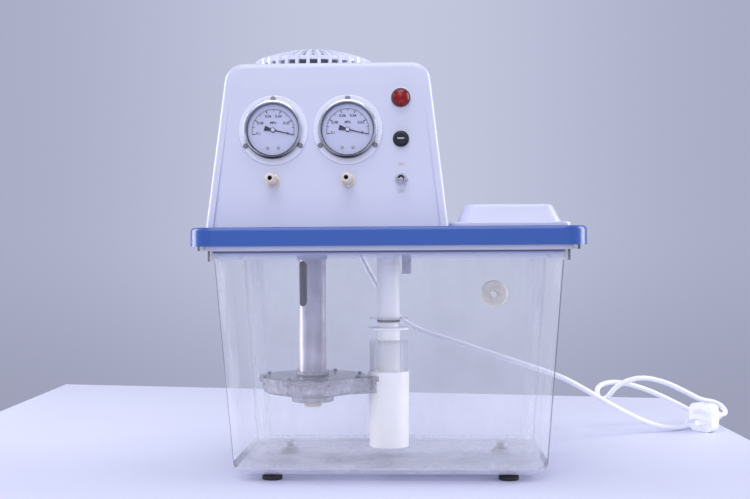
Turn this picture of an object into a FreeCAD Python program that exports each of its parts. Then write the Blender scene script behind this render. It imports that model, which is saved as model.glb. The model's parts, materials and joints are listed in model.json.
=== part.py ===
import FreeCAD, Part

import math
import os

import Sketcher
from FreeCAD import Placement, Rotation, Vector

# Circulating water vacuum pump.
# The origin lies on the table under the middle of the lid: X to the right, Y to the back, Z up.
# All sizes are millimetres and degrees.

SIZES = {
    # Feet and clear tank
    "foot_height": 6.5,
    "foot_radius": 10.5,
    "foot_step_radius": 8.0,
    "foot_step_height": 2.0,
    "foot_plug_radius": 4.0,
    "foot_plug_length": 5.0,
    "foot_boss_radius": 7.5,
    "foot_spread_x": 122.5,
    "foot_spread_y": 82.0,
    "tank_body_height": 220.0,
    "tank_base_width": 324.0,
    "tank_base_depth": 204.0,
    "tank_top_width": 358.0,
    "tank_top_depth": 238.0,
    "tank_wall": 3.0,
    "tank_floor": 4.0,
    "tank_base_corner": 18.0,
    "tank_top_corner": 22.0,
    "tank_base_round": 13.0,
    "collar_width": 370.5,
    "collar_depth": 250.5,
    "collar_height": 11.0,
    "rim_width": 389.0,
    "rim_depth": 269.0,
    "rim_thickness": 4.5,
    # Overflow port in the rear wall
    "overflow_x": 117.9,
    "overflow_z": 184.3,
    "overflow_bore_radius": 4.2,
    "overflow_thread_radius": 8.0,
    "overflow_barb_radius": 6.0,
    "overflow_barb_length": 17.0,
    "overflow_root_radius": 5.2,
    "overflow_root_length": 2.0,
    "overflow_flange_radius": 13.0,
    "overflow_flange_thickness": 3.0,
    "overflow_nut_radius": 16.0,
    "overflow_nut_bevel": 1.5,
    "overflow_nut_thickness": 5.0,
    # Lid
    "lid_width": 400.0,
    "lid_depth": 280.0,
    "lid_height": 19.0,
    "lid_corner": 25.0,
    "lid_edge_radius": 4.0,
    "lid_wall": 3.5,
    "lid_plate": 4.0,
    "lid_rib": 3.0,
    "lid_lip_depth": 8.0,
    # Filling hatch
    "hatch_x": 125.2,
    "hatch_y": -5.0,
    "hatch_flange_width": 125.0,
    "hatch_flange_depth": 186.0,
    "hatch_flange_thickness": 4.5,
    "hatch_flange_round": 1.5,
    "hatch_base_width": 112.0,
    "hatch_base_depth": 166.0,
    "hatch_top_width": 90.0,
    "hatch_top_depth": 143.0,
    "hatch_height": 23.5,
    "hatch_corner": 14.0,
    "hatch_edge_radius": 5.0,
    "hatch_wall": 2.5,
    "hatch_skirt": 8.0,
    # White hood
    "hood_x": -61.5,
    "hood_base_width": 247.0,
    "hood_top_width": 208.0,
    "hood_height": 169.0,
    "hood_front": 118.0,
    "hood_front_lean": 18.0,
    "hood_back": 112.0,
    "hood_corner": 20.0,
    "hood_edge_radius": 6.0,
    "hood_wall": 3.0,
    "panel_drill_depth": 24.0,
    "hood_screw_grip": 10.0,
    "recess_border": 8.0,
    "recess_depth": 4.5,
    "recess_corner": 12.0,
    "panel_tilt": 4.3,
    "post_radius": 6.0,
    "post_height": 24.0,
    "post_inset": 16.0,
    # Slotted motor cap
    "cap_x": -84.5,
    "cap_y": 0.0,
    "cap_flange_radius": 66.5,
    "cap_flange_thickness": 2.0,
    "cap_radius": 62.0,
    "cap_shoulder": 12.5,
    "cap_height": 27.5,
    "cap_wall": 2.5,
    "cap_rib_count": 34,
    "cap_rib_width": 3.6,
    "cap_rib_height": 2.4,
    "cap_rib_start": 24.0,
    "cap_window_width": 7.8,
    "cap_window_low": 3.4,
    "cap_window_high": 9.6,
    "cap_slot_width": 2.6,
    "cap_slot_inner": 36.0,
    "cap_slot_outer": 57.0,
    # Motor on the pump axis
    "pump_x": -87.6,
    "motor_radius": 54.0,
    "motor_wall": 4.0,
    "bell_thickness": 5.0,
    "bell_height": 14.0,
    "bell_hub_radius": 20.0,
    "housing_length": 100.0,
    "core_length": 66.0,
    "core_bore_radius": 32.0,
    "winding_inset": 2.5,
    "air_gap": 0.5,
    "winding_height": 12.0,
    "bearing_radius": 15.0,
    "bearing_width": 9.0,
    "shaft_radius": 5.0,
    "running_clearance": 0.05,
    "fan_gap": 10.0,
    "fan_radius": 44.0,
    "fan_hub_radius": 11.0,
    "fan_height": 16.0,
    "fan_blade_count": 7,
    "fan_blade_thickness": 2.0,
    "fan_blade_share": 0.75,
    "fan_plate": 2.5,
    "shaft_end": 3.0,
    # Stainless column
    "column_radius": 15.0,
    "column_wall": 1.5,
    "column_bottom": 100.0,
    "column_flange_radius": 32.0,
    "column_flange_thickness": 4.0,
    "column_slot_width": 12.0,
    "column_slot_height": 50.0,
    "column_slot_bottom": 176.0,
    "column_slot_angle": -131.0,
    "collar_ring_radius": 16.8,
    "collar_ring_length": 30.0,
    "bush_length": 14.0,
    # Clear impeller housing
    "flange_radius": 58.5,
    "cover_thickness": 3.0,
    "cover_hub_radius": 18.0,
    "cover_hub_height": 5.0,
    "volute_flange_thickness": 2.5,
    "volute_radius": 55.0,
    "volute_depth": 20.0,
    "volute_knee_depth": 14.5,
    "volute_throat_radius": 27.0,
    "volute_wall": 2.5,
    "volute_ring_radius": 23.2,
    "volute_ring_round": 2.0,
    "volute_knee_round": 6.0,
    "volute_ring_depth": 6.0,
    "inlet_radius": 9.5,
    "inlet_wall": 2.0,
    "inlet_length": 5.5,
    "outlet_width": 22.0,
    "outlet_tangent_radius": 38.0,
    "outlet_depth": 15.0,
    "outlet_drop": 0.5,
    "port_reach_share": 1.5,
    "spigot_radius": 6.5,
    "spigot_wall": 1.5,
    "spigot_reach": 5.0,
    "volute_screw_count": 8,
    "volute_screw_circle": 55.0,
    "screw_head_radius": 2.6,
    "screw_head_height": 2.0,
    "screw_head_round": 0.6,
    "gauge_screw_length": 8.0,
    "screw_shank_radius": 1.4,
    "impeller_radius": 40.0,
    "impeller_plate": 2.5,
    "impeller_height": 9.0,
    "impeller_hub_radius": 9.0,
    "impeller_gap": 2.5,
    "impeller_blade_count": 6,
    "impeller_blade_thickness": 2.2,
    "impeller_centre_share": 0.95,
    "blade_root": 0.5,
    "impeller_blade_radius": 30.0,
    # Ejector line
    "ejector_x": -3.5,
    "tube_radius": 12.5,
    "tube_wall": 2.5,
    "tube_bottom": 161.0,
    "tube_flange_radius": 19.0,
    "tube_flange_thickness": 3.0,
    "tube_disc_radius": 21.0,
    "tube_disc_thickness": 1.6,
    "tube_disc_rise": 0.8,
    "seal_height": 3.0,
    "seal_proud": 0.3,
    "seal_round": 1.2,
    "neck_radius": 10.8,
    "neck_height": 5.4,
    "neck_spigot_height": 14.0,
    "chamber_flange_radius": 22.2,
    "chamber_flange_thickness": 2.6,
    "chamber_radius": 21.0,
    "chamber_height": 34.0,
    "chamber_roof": 2.5,
    "chamber_wall": 2.5,
    "inner_tube_radius": 12.3,
    "inner_tube_bore": 6.0,
    "inner_tube_stem_radius": 7.8,
    "silencer_top": 104.5,
    "silencer_bottom": 21.5,
    "silencer_top_radius": 22.4,
    "silencer_bottom_radius": 21.6,
    "silencer_wall": 2.5,
    "silencer_rim": 1.6,
    "silencer_ceiling": 4.0,
    "nozzle_level": 70.0,
    "nozzle_plate_thickness": 5.0,
    "nozzle_circle": 13.0,
    "nozzle_radius": 4.0,
    "nozzle_tip_radius": 2.2,
    "nozzle_length": 12.0,
    "nozzle_bore": 1.4,
    "fit_clearance": 0.15,
    "seat_gap": 0.1,
    "edge_round": 0.8,
    # Small return tube under the lid
    "return_x": 17.0,
    "return_y": -8.0,
    "return_radius": 5.1,
    "return_bore": 3.4,
    "return_length": 45.0,
    "return_tilt": 8.0,
    "return_gap": 0.6,
    # Gauges
    "gauge_spread": 76.2,
    "gauge_centre_x": -78.1,
    "gauge_height": 99.3,
    "gauge_flange_radius": 35.8,
    "gauge_flange_thickness": 2.2,
    "gauge_case_radius": 27.2,
    "gauge_case_depth": 26.0,
    "gauge_case_round": 2.0,
    "gauge_case_wall": 1.0,
    "gauge_rim_radius": 28.3,
    "gauge_rim_height": 4.4,
    "gauge_bezel_radius": 30.0,
    "gauge_bezel_height": 7.0,
    "gauge_bezel_round": 1.2,
    "bezel_screw_gap": 0.05,
    "gauge_lip_radius": 26.2,
    "gauge_lens_thickness": 1.4,
    "gauge_dial_radius": 26.0,
    "gauge_dial_thickness": 0.8,
    "gauge_dial_level": 1.0,
    "gauge_screw_circle": 32.4,
    "pointer_gap": 0.8,
    "pointer_length": 22.3,
    "pointer_width": 1.3,
    "pointer_tail": 9.0,
    "pointer_tail_width": 5.4,
    "pointer_tip_width": 0.6,
    "pointer_thickness": 0.6,
    "pointer_hub_radius": 2.6,
    "pointer_hub_height": 1.8,
    "pointer_hub_round": 0.5,
    "spindle_radius": 1.0,
    "spindle_depth": 9.0,
    "pointer_rest_angle": -13.5,
    "socket_radius": 5.0,
    "socket_length": 17.0,
    "movement_width": 22.0,
    "movement_depth": 8.0,
    "pillar_inset": 3.0,
    "pillar_radius": 2.0,
    "bourdon_radius": 18.0,
    "bourdon_tube_radius": 2.4,
    "bourdon_foot_inset": 3.0,
    "bourdon_foot_width": 6.0,
    "bourdon_foot_height": 5.0,
    # Hose taps
    "tap_height": 47.1,
    "tap_flange_radius": 7.3,
    "tap_flange_thickness": 2.5,
    "tap_shoulder_radius": 6.0,
    "tap_shoulder_length": 5.0,
    "tap_shoulder_taper": 0.6,
    "tap_neck_length": 2.0,
    "tap_barb_rise": 0.6,
    "tap_barb_foot": 0.4,
    "tap_tip_radius": 4.5,
    "tap_neck_radius": 3.9,
    "tap_length": 27.5,
    "tap_tip_length": 7.0,
    "tap_tip_round": 0.5,
    "tap_barb_pitch": 4.0,
    "tap_bore_radius": 2.3,
    "tap_thread_radius": 4.8,
    "tap_thread_length": 14.0,
    "tap_nut_radius": 9.0,
    "tap_nut_thickness": 4.0,
    "tee_depth": 49.4,
    "tee_radius": 6.2,
    "tee_bore": 2.4,
    "tee_branch_bore": 1.9,
    "tee_leg": 10.0,
    "hose_radius": 4.0,
    "hose_pair_spread": 9.6,
    # Lamp, fuse and switch
    "control_x": 14.1,
    "lamp_height": 131.4,
    "lamp_bezel_radius": 11.2,
    "lamp_bezel_height": 1.8,
    "lamp_radius": 9.9,
    "lamp_dome_height": 9.5,
    "lamp_body_radius": 8.0,
    "lamp_body_length": 20.0,
    "lamp_wall": 1.2,
    "lamp_well_depth": 6.0,
    "lamp_dome_foot": 2.0,
    "fuse_height": 89.3,
    "fuse_ring_radius": 8.2,
    "fuse_ring_height": 3.0,
    "fuse_body_radius": 6.4,
    "fuse_body_length": 34.0,
    "fuse_bore_radius": 3.6,
    "fuse_play": 0.4,
    "fuse_floor": 2.0,
    "fuse_cap_radius": 6.3,
    "fuse_cap_height": 4.0,
    "fuse_cap_stem": 8.0,
    "fuse_slot_width": 1.4,
    "fuse_slot_depth": 1.6,
    "fuse_slot_length": 8.19,
    "fuse_link_radius": 2.5,
    "fuse_link_length": 20.0,
    "switch_height": 48.2,
    "switch_bush_radius": 5.0,
    "switch_bush_length": 7.5,
    "switch_bush_bore": 3.4,
    "switch_well_depth": 4.0,
    "switch_nut_radius": 6.9,
    "switch_nut_thickness": 2.2,
    "switch_body_width": 13.0,
    "switch_body_height": 20.0,
    "switch_body_depth": 16.0,
    "lever_pivot": 4.0,
    "lever_ball_radius": 2.9,
    "lever_ball_girth": 2.32,
    "lever_ball_band": 2.784,
    "lever_pin_radius": 0.8,
    "lever_pin_length": 6.0,
    "lever_root_radius": 1.3,
    "lever_tip_radius": 2.2,
    "lever_length": 13.0,
    "lever_tip_length": 2.0,
    "lever_tip_bevel": 0.6,
    "lever_rest_angle": 12.0,
    # Capacitor and terminals inside the hood
    "capacitor_x": 6.0,
    "capacitor_y": 58.0,
    "capacitor_radius": 17.0,
    "capacitor_length": 62.0,
    "capacitor_foot_round": 1.5,
    "capacitor_top_round": 2.0,
    "terminal_x": -12.0,
    "terminal_y": 92.0,
    "terminal_width": 44.0,
    "terminal_depth": 14.0,
    "terminal_height": 16.0,
    "terminal_pitch": 10.0,
    "terminal_well_radius": 2.5,
    # Mains lead
    "gland_x": -60.0,
    "gland_height": 16.0,
    "gland_flange_radius": 9.5,
    "gland_flange_thickness": 3.0,
    "gland_root_radius": 6.5,
    "gland_tip_radius": 4.6,
    "gland_length": 28.0,
    "gland_stem": 4.0,
    "gland_stem_wall": 2.0,
    "cord_radius": 3.3,
    "plug_width": 38.0,
    "plug_height": 36.0,
    "plug_face_depth": 13.0,
    "plug_grip_width": 20.0,
    "plug_grip_height": 17.0,
    "plug_length": 36.0,
    "plug_tail_radius": 5.0,
    "plug_corner": 9.0,
    "pin_length": 18.0,
    "pin_width": 6.3,
    "pin_thickness": 1.5,
    "pin_spread": 7.9,
    "pin_splay": 30.0,
    "pin_drop": 4.74,
}

# The hoses' way inside the hood. Each point lies across from its own tee or from the ejector's tube,
# back from the middle of the lid and up from its top
HOSE_LANES = {
    "left": [("tee", 14.4, -71.0, 9.0), ("tube", -24.0, -72.0, 9.0), ("tube", 1.0, -62.0, 13.0)],
    "right": [("tee", 5.8, -61.0, 15.0), ("tube", -13.0, -51.0, 20.0)],
}
# The hump over which both hoses enter the tube: back and up
HOSE_HUMP = [(-25.0, 32.0), (0.0, 31.0)]
HOSE_DROP = 9.0

# The plug's waist along its grip, and the width of its shoulder, its grip's corners
PLUG_WAIST_SHARE = 0.5
PLUG_SHOULDER_SHARE = 0.9
PLUG_GRIP_CORNER_SHARE = 0.6

# Route of the mains lead from its gland to the plug, as it lies behind and beside the tank
CORD_ROUTE = [
    (-60.0, 140.0, 277.0),
    (-60.0, 157.0, 276.0),
    (-57.0, 171.0, 262.0),
    (-45.3, 174.0, 234.4),
    (-31.3, 172.0, 206.4),
    (-12.3, 170.0, 175.4),
    (6.7, 170.0, 150.0),
    (31.7, 170.0, 136.3),
    (65.7, 170.0, 126.3),
    (115.8, 169.0, 109.4),
    (167.7, 170.0, 92.2),
    (203.8, 174.0, 79.7),
    (237.1, 190.0, 60.4),
    (262.4, 208.0, 44.5),
    (290.1, 228.0, 28.5),
    (320.4, 248.0, 12.5),
    (346.5, 255.9, 5.0),
    (368.0, 272.0, 3.5),
    (398.0, 300.0, 3.6),
    (410.0, 318.0, 8.0),
    (403.5, 332.0, 11.7),
    (382.9, 336.0, 22.7),
    (353.7, 330.0, 37.7),
    (327.0, 322.0, 49.4),
    (297.5, 312.0, 58.2),
    (277.7, 303.0, 59.5),
    (261.4, 290.0, 55.0),
    (259.4, 270.0, 42.8),
    (268.5, 256.0, 41.2),
    (282.8, 256.0, 61.3),
    (314.0, 266.0, 70.6),
    (347.5, 278.0, 62.8),
    (376.7, 288.0, 48.5),
    (398.7, 296.0, 36.3),
    (419.4, 301.0, 33.1),
    (430.4, 298.0, 24.2),
    (428.2, 285.9, 18.4),
    (418.6, 278.7, 18.4),
]

PARTS_FOLDER = "parts"
MOST_NODES = 60
UP = Vector(0, 0, 1)
ACROSS = Vector(1, 0, 0)
DEEP = Vector(0, 1, 0)

# Edges nearer than this lie in the same plane
SAME_PLACE = 0.01
# How far a cutting shape runs past the piece that it trims
CUT_MARGIN = 10
# How many barbs a hose tap has, and how many wells the terminal block
TAP_BARBS = 3
TERMINALS = 4
# Where a gauge flange's three screws stand round its rim, in degrees
GAUGE_SCREW_ANGLES = (90, 210, 330)
# Where a blade starts on its arc and how far it turns, in degrees
FAN_BLADE_ARC = (112, 48)
IMPELLER_BLADE_ARC = (100, 62)
# The bent pressure tube's arc and its first end, in degrees
BOURDON_ARC = 250
BOURDON_START = -125
# The share of a shorter run that each bend of a lead or hose may use
BEND_SHARE = 0.45
# How closely a swept tube's volume follows its section times its length
SWEEP_TOLERANCE = 0.02


class Size:
    """A size that carries its number and the spreadsheet formula behind it."""

    def __init__(self, value, formula):
        self.value = value
        self.formula = formula

    def __float__(self):
        return float(self.value)

    def __add__(self, other):
        return Size(float(self) + float(other), f"({self.formula} + {formula_of(other)})")

    def __radd__(self, other):
        return as_size(other) + self

    def __sub__(self, other):
        return Size(float(self) - float(other), f"({self.formula} - {formula_of(other)})")

    def __rsub__(self, other):
        return as_size(other) - self

    def __mul__(self, other):
        return Size(float(self) * float(other), f"({self.formula} * {formula_of(other)})")

    def __rmul__(self, other):
        return as_size(other) * self

    def __truediv__(self, other):
        return Size(float(self) / float(other), f"({self.formula} / {formula_of(other)})")

    def __neg__(self):
        return Size(-float(self), f"(0 - {self.formula})")


def formula_of(size):
    return size.formula if isinstance(size, Size) else repr(float(size))


def as_size(number):
    return number if isinstance(number, Size) else Size(float(number), formula_of(number))


def sine(angle):
    return Size(math.sin(math.radians(float(angle))), f"sin({formula_of(angle)})")


def cosine(angle):
    return Size(math.cos(math.radians(float(angle))), f"cos({formula_of(angle)})")


def tangent(angle):
    return Size(math.tan(math.radians(float(angle))), f"tan({formula_of(angle)})")


def root(size):
    return Size(math.sqrt(float(size)), f"sqrt({formula_of(size)})")


class Dimensions:
    """The named sizes of the spreadsheet, read as attributes."""

    def __init__(self, sheet):
        for row, (name, value) in enumerate(SIZES.items(), start=1):
            sheet.set(f"A{row}", name)
            sheet.set(f"B{row}", str(value))
            sheet.setAlias(f"B{row}", name)
            setattr(self, name, Size(value, f"{sheet.Name}.{name}"))


doc = FreeCAD.newDocument("vacuum_pump")
dim = Dimensions(doc.addObject("Spreadsheet::Sheet", "Sizes"))
doc.recompute()
pieces = {}


# Levels and places that several pieces share
TANK_BASE = dim.foot_height
COLLAR_BASE = TANK_BASE + dim.tank_body_height
RIM_BASE = COLLAR_BASE + dim.collar_height
RIM_TOP = RIM_BASE + dim.rim_thickness
LID_TOP = RIM_TOP + dim.lid_height
LID_UNDER = LID_TOP - dim.lid_plate
HOOD_TOP = LID_TOP + dim.hood_height


def bind(item, name, size):
    """Tie one property of a document object to its formula in the spreadsheet."""
    item.setExpression(name, formula_of(size))


def place(item, x=0, y=0, z=0, axis=None, angle=0):
    """Put an object at its place, turned by an angle about an axis through it."""
    if axis is not None:
        item.Placement = Placement(Vector(), Rotation(axis, float(angle)))
        bind(item, "Placement.Rotation.Angle", angle)
    bind(item, "Placement.Base.x", x)
    bind(item, "Placement.Base.y", y)
    bind(item, "Placement.Base.z", z)
    return item


def finished(item, label):
    """Record an object as a finished piece; its label names its file."""
    item.Label = label
    pieces[label] = item
    return item


def new_body(label):
    return doc.addObject("PartDesign::Body", label)


def origin_feature(body, role):
    return next(item for item in body.Origin.OriginFeatures if item.Role == role)


def new_sketch(body, name, role="XY_Plane", level=0):
    """A sketch on one of the body's own planes, moved along its normal to a level."""
    sketch = body.newObject("Sketcher::SketchObject", name)
    sketch.AttachmentSupport = (origin_feature(body, role), [""])
    sketch.MapMode = "FlatFace"
    bind(sketch, "AttachmentOffset.Base.z", level)
    return sketch


def constrain(sketch, kind, references, size):
    index = sketch.addConstraint(Sketcher.Constraint(kind, *references, float(size)))
    if isinstance(size, Size):
        sketch.setExpression(f"Constraints[{index}]", size.formula)


def fix_point(sketch, geometry, position, x, y):
    constrain(sketch, "DistanceX", (-1, 1, geometry, position), x)
    constrain(sketch, "DistanceY", (-1, 1, geometry, position), y)


def circle(sketch, radius, x=0, y=0):
    centre = Vector(float(x), float(y), 0)
    index = sketch.addGeometry(Part.Circle(centre, UP, float(radius)))
    constrain(sketch, "Radius", (index,), radius)
    fix_point(sketch, index, 3, x, y)


def arc_between(start, end, radius):
    """An arc of a signed radius: positive runs counter-clockwise from start to end."""
    chord = end - start
    side = Vector(-chord.y, chord.x, 0).normalize()
    rise = math.sqrt(radius * radius - chord.Length * chord.Length / 4)
    centre = (start + end) / 2 + side * math.copysign(rise, radius)
    first, last = (start, end) if radius > 0 else (end, start)
    angles = [math.atan2(point.y - centre.y, point.x - centre.x) for point in (first, last)]
    return Part.ArcOfCircle(Part.Circle(centre, UP, abs(radius)), angles[0], angles[1])


def outline(sketch, corners, arcs=None):
    """Draw a closed outline.

    A corner is (x, y), or (x, y, radius) where it is rounded.
    arcs gives a signed radius to each side, by its first corner, that is an arc.
    """
    arcs = arcs or {}
    count = len(corners)
    spots = [Vector(float(corner[0]), float(corner[1]), 0) for corner in corners]
    entries = list(spots)
    exits = list(spots)
    for index, corner in enumerate(corners):
        if len(corner) == 3:
            before = (spots[index - 1] - spots[index]).normalize()
            after = (spots[(index + 1) % count] - spots[index]).normalize()
            reach = float(corner[2]) / math.tan(before.getAngle(after) / 2)
            entries[index] = spots[index] + before * reach
            exits[index] = spots[index] + after * reach
    sides = []
    for index in range(count):
        start, end = exits[index], entries[(index + 1) % count]
        if index in arcs:
            radius = float(arcs[index])
            side = sketch.addGeometry(arc_between(start, end, radius))
            constrain(sketch, "Radius", (side,), abs_size(arcs[index]))
            sides.append((side, 1, 2) if radius > 0 else (side, 2, 1))
        else:
            side = sketch.addGeometry(Part.LineSegment(start, end))
            sides.append((side, 1, 2))
    for index, corner in enumerate(corners):
        into, out = sides[index - 1], sides[index]
        if len(corner) == 2:
            sketch.addConstraint(Sketcher.Constraint("Coincident", into[0], into[2], out[0], out[1]))
            fix_point(sketch, out[0], out[1], corner[0], corner[1])
            continue
        turn = (spots[index] - spots[index - 1]).cross(spots[(index + 1) % count] - spots[index]).z
        radius = math.copysign(float(corner[2]), turn)
        bend = sketch.addGeometry(arc_between(entries[index], exits[index], radius))
        first, last = (1, 2) if turn > 0 else (2, 1)
        sketch.addConstraint(Sketcher.Constraint("Tangent", into[0], into[2], bend, first))
        sketch.addConstraint(Sketcher.Constraint("Tangent", bend, last, out[0], out[1]))
        constrain(sketch, "Radius", (bend,), corner[2])
        point = sketch.addGeometry(Part.Point(spots[index]), True)
        sketch.addConstraint(Sketcher.Constraint("PointOnObject", point, 1, into[0]))
        sketch.addConstraint(Sketcher.Constraint("PointOnObject", point, 1, out[0]))
        fix_point(sketch, point, 1, corner[0], corner[1])


def abs_size(size):
    return size if float(size) >= 0 else -size


def rectangle(sketch, width, depth, radius=None, x=0, y=0):
    """A rectangle about a centre, with rounded corners where a radius is given."""
    signs = [(-1, -1), (1, -1), (1, 1), (-1, 1)]
    rounding = () if radius is None else (radius,)
    outline(sketch, [(x + width / 2 * i, y + depth / 2 * j) + rounding for i, j in signs])


def feature(body, kind, sketch, name):
    item = body.newObject(f"PartDesign::{kind}", name)
    item.Profile = sketch
    return item


def revolve(body, sketch, name, kind="Revolution"):
    item = feature(body, kind, sketch, name)
    item.ReferenceAxis = (sketch, ["V_Axis"])
    item.Angle = 360.0
    return item


def turned(label, corners, arcs=None):
    """A body turned about its own Z axis from an outline of (radius, height) corners."""
    body = new_body(label)
    sketch = new_sketch(body, f"{label}_profile", "XZ_Plane")
    outline(sketch, corners, arcs)
    revolve(body, sketch, f"{label}_turned")
    return body


def tube_corners(outer, inner, bottom, top):
    return [(inner, bottom), (outer, bottom), (outer, top), (inner, top)]


def rod_corners(radius, bottom, top):
    return [(0, bottom), (radius, bottom), (radius, top), (0, top)]


def prism(name, corners, direction, start, length, arcs=None):
    """A flat outline drawn in plan, front or side view and extruded along its normal."""
    turns = {"up": Rotation(), "back": Rotation(ACROSS, 90), "right": Rotation(Vector(1, 1, 1), 120)}
    ways = {"up": UP, "back": DEEP, "right": ACROSS}
    coordinate = {"up": "z", "back": "y", "right": "x"}[direction]
    sketch = doc.addObject("Sketcher::SketchObject", f"{name}_outline")
    sketch.Placement = Placement(Vector(), turns[direction])
    bind(sketch, f"Placement.Base.{coordinate}", start)
    outline(sketch, corners, arcs)
    item = doc.addObject("Part::Extrusion", name)
    item.Base = sketch
    item.DirMode = "Custom"
    item.Dir = ways[direction]
    item.Solid = True
    bind(item, "LengthFwd", length)
    return item


def cylinder(name, radius, height, x=0, y=0, z=0, axis=None, angle=0):
    item = doc.addObject("Part::Cylinder", name)
    bind(item, "Radius", radius)
    bind(item, "Height", height)
    return place(item, x, y, z, axis, angle)


def cone(name, bottom_radius, top_radius, height, x=0, y=0, z=0):
    item = doc.addObject("Part::Cone", name)
    bind(item, "Radius1", bottom_radius)
    bind(item, "Radius2", top_radius)
    bind(item, "Height", height)
    return place(item, x, y, z)


def box(name, width, depth, height, x=0, y=0, z=0):
    """A box about a centre in plan, standing on z."""
    item = doc.addObject("Part::Box", name)
    bind(item, "Length", width)
    bind(item, "Width", depth)
    bind(item, "Height", height)
    return place(item, x - as_size(width) / 2, y - as_size(depth) / 2, z)


def fuse(name, *items):
    item = doc.addObject("Part::MultiFuse", name)
    item.Shapes = list(items)
    return item


def cut(name, base, *tools):
    item = doc.addObject("Part::Cut", name)
    item.Base = base
    item.Tool = tools[0] if len(tools) == 1 else fuse(f"{name}_tools", *tools)
    return item


def common(name, base, tool):
    item = doc.addObject("Part::Common", name)
    item.Base = base
    item.Tool = tool
    return item


def group(label, items):
    """Several separate solids of one kind, kept as one piece of the list."""
    item = doc.addObject("Part::Compound", label)
    item.Links = list(items)
    return finished(item, label)


def rounded(name, base, radius, chosen):
    """Fillet the edges of an object that the chosen test accepts."""
    doc.recompute()
    item = doc.addObject("Part::Fillet", name)
    item.Base = base
    picked = [number for number, edge in enumerate(base.Shape.Edges, start=1) if chosen(edge)]
    item.Edges = [(number, float(radius), float(radius)) for number in picked]
    return item


def lies_at(edge, coordinate, value):
    """Whether a whole edge lies in the plane where one coordinate has a value."""
    box = edge.BoundBox
    spans = {"x": (box.XMin, box.XMax), "y": (box.YMin, box.YMax), "z": (box.ZMin, box.ZMax)}
    low, high = spans[coordinate]
    return abs(low - float(value)) < SAME_PLACE and abs(high - float(value)) < SAME_PLACE


def tapered(name, low, high, fillet=None):
    """A solid lofted between two rounded rectangles (width, depth, corner, level)."""
    sections = []
    for index, (width, depth, corner, level) in enumerate((low, high)):
        sketch = doc.addObject("Sketcher::SketchObject", f"{name}_section_{index}")
        bind(sketch, "Placement.Base.z", level)
        rectangle(sketch, width, depth, corner)
        sections.append(sketch)
    loft = doc.addObject("Part::Loft", name)
    loft.Sections = sections
    loft.Solid = True
    loft.Ruled = True
    if fillet is None:
        return loft
    radius, level = fillet
    return rounded(f"{name}_rounded", loft, radius, lambda edge: lies_at(edge, "z", level))


def plate(name, width, depth, corner, level, thickness, x=0, y=0):
    """A flat slab with rounded corners, standing on a level."""
    signs = [(-1, -1), (1, -1), (1, 1), (-1, 1)]
    corners = [(x + width / 2 * i, y + depth / 2 * j, corner) for i, j in signs]
    return prism(name, corners, "up", level, thickness)


def make_tank():
    """The clear tank: tapered walls, a collar and a flat rim, with bosses for the feet."""
    wall = dim.tank_wall
    floor_top = TANK_BASE + dim.tank_floor
    body = tapered(
        "tank_outside",
        (dim.tank_base_width, dim.tank_base_depth, dim.tank_base_corner, TANK_BASE),
        (dim.tank_top_width, dim.tank_top_depth, dim.tank_top_corner, COLLAR_BASE),
        (dim.tank_base_round, TANK_BASE))
    collar = plate("tank_collar", dim.collar_width, dim.collar_depth, dim.tank_top_corner + wall,
                   COLLAR_BASE, dim.collar_height)
    rim = plate("tank_rim", dim.rim_width, dim.rim_depth, dim.tank_top_corner + wall * 2,
                RIM_BASE, dim.rim_thickness)
    bosses = []
    plugs = []
    for index, (x, y) in enumerate(foot_places()):
        bosses.append(cylinder(f"foot_boss_{index}", dim.foot_boss_radius,
                               dim.foot_plug_length + wall, x, y, TANK_BASE + 0.5))
        plugs.append(cylinder(f"foot_socket_{index}", dim.foot_plug_radius + dim.fit_clearance,
                              dim.foot_plug_length + 0.5, x, y, TANK_BASE))
    inside = tapered(
        "tank_inside",
        (dim.tank_base_width - wall * 2, dim.tank_base_depth - wall * 2,
         dim.tank_base_corner - wall, floor_top),
        (dim.tank_top_width - wall * 2, dim.tank_top_depth - wall * 2,
         dim.tank_top_corner - wall, COLLAR_BASE),
        (dim.tank_base_round - wall, floor_top))
    mouth = plate("tank_mouth", dim.tank_top_width - wall * 2, dim.tank_top_depth - wall * 2,
                  dim.tank_top_corner - wall, COLLAR_BASE - SAME_PLACE, wall * 2)
    collar_inside = plate("tank_collar_inside", dim.collar_width - wall * 2, dim.collar_depth - wall * 2,
                          dim.tank_top_corner, COLLAR_BASE + wall, dim.collar_height + dim.rim_thickness)
    port = overflow_shape(cylinder("overflow_hole", dim.overflow_thread_radius + dim.fit_clearance,
                                   wall * 8), -wall * 4)
    shell = cut("tank_shell", fuse("tank_solid", body, collar, rim), inside, mouth, collar_inside, port)
    tank = cut("tank", fuse("tank_with_bosses", shell, *bosses), *plugs)
    return finished(tank, "water_tank")


def foot_places():
    return [(dim.foot_spread_x * i, dim.foot_spread_y * j) for i in (-1, 1) for j in (-1, 1)]


def make_feet():
    feet = []
    for index, (x, y) in enumerate(foot_places()):
        top = dim.foot_height
        step = top - dim.foot_step_height
        foot = turned(f"foot_{index}", [
            (0, 0), (dim.foot_radius, 0, 1.2), (dim.foot_radius, step, 0.8), (dim.foot_step_radius, step),
            (dim.foot_step_radius, top), (dim.foot_plug_radius, top),
            (dim.foot_plug_radius, top + dim.foot_plug_length), (0, top + dim.foot_plug_length)])
        feet.append(place(foot, x, y, 0))
    return group("rubber_feet", feet)


# The rear wall leans back by the growth of the tank's depth over its height
WALL_LEAN = (dim.tank_top_depth - dim.tank_base_depth) / 2 / dim.tank_body_height
OVERFLOW_Y = dim.tank_base_depth / 2 + WALL_LEAN * (dim.overflow_z - TANK_BASE)
WALL_SLANT = root(WALL_LEAN * WALL_LEAN + 1)


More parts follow.
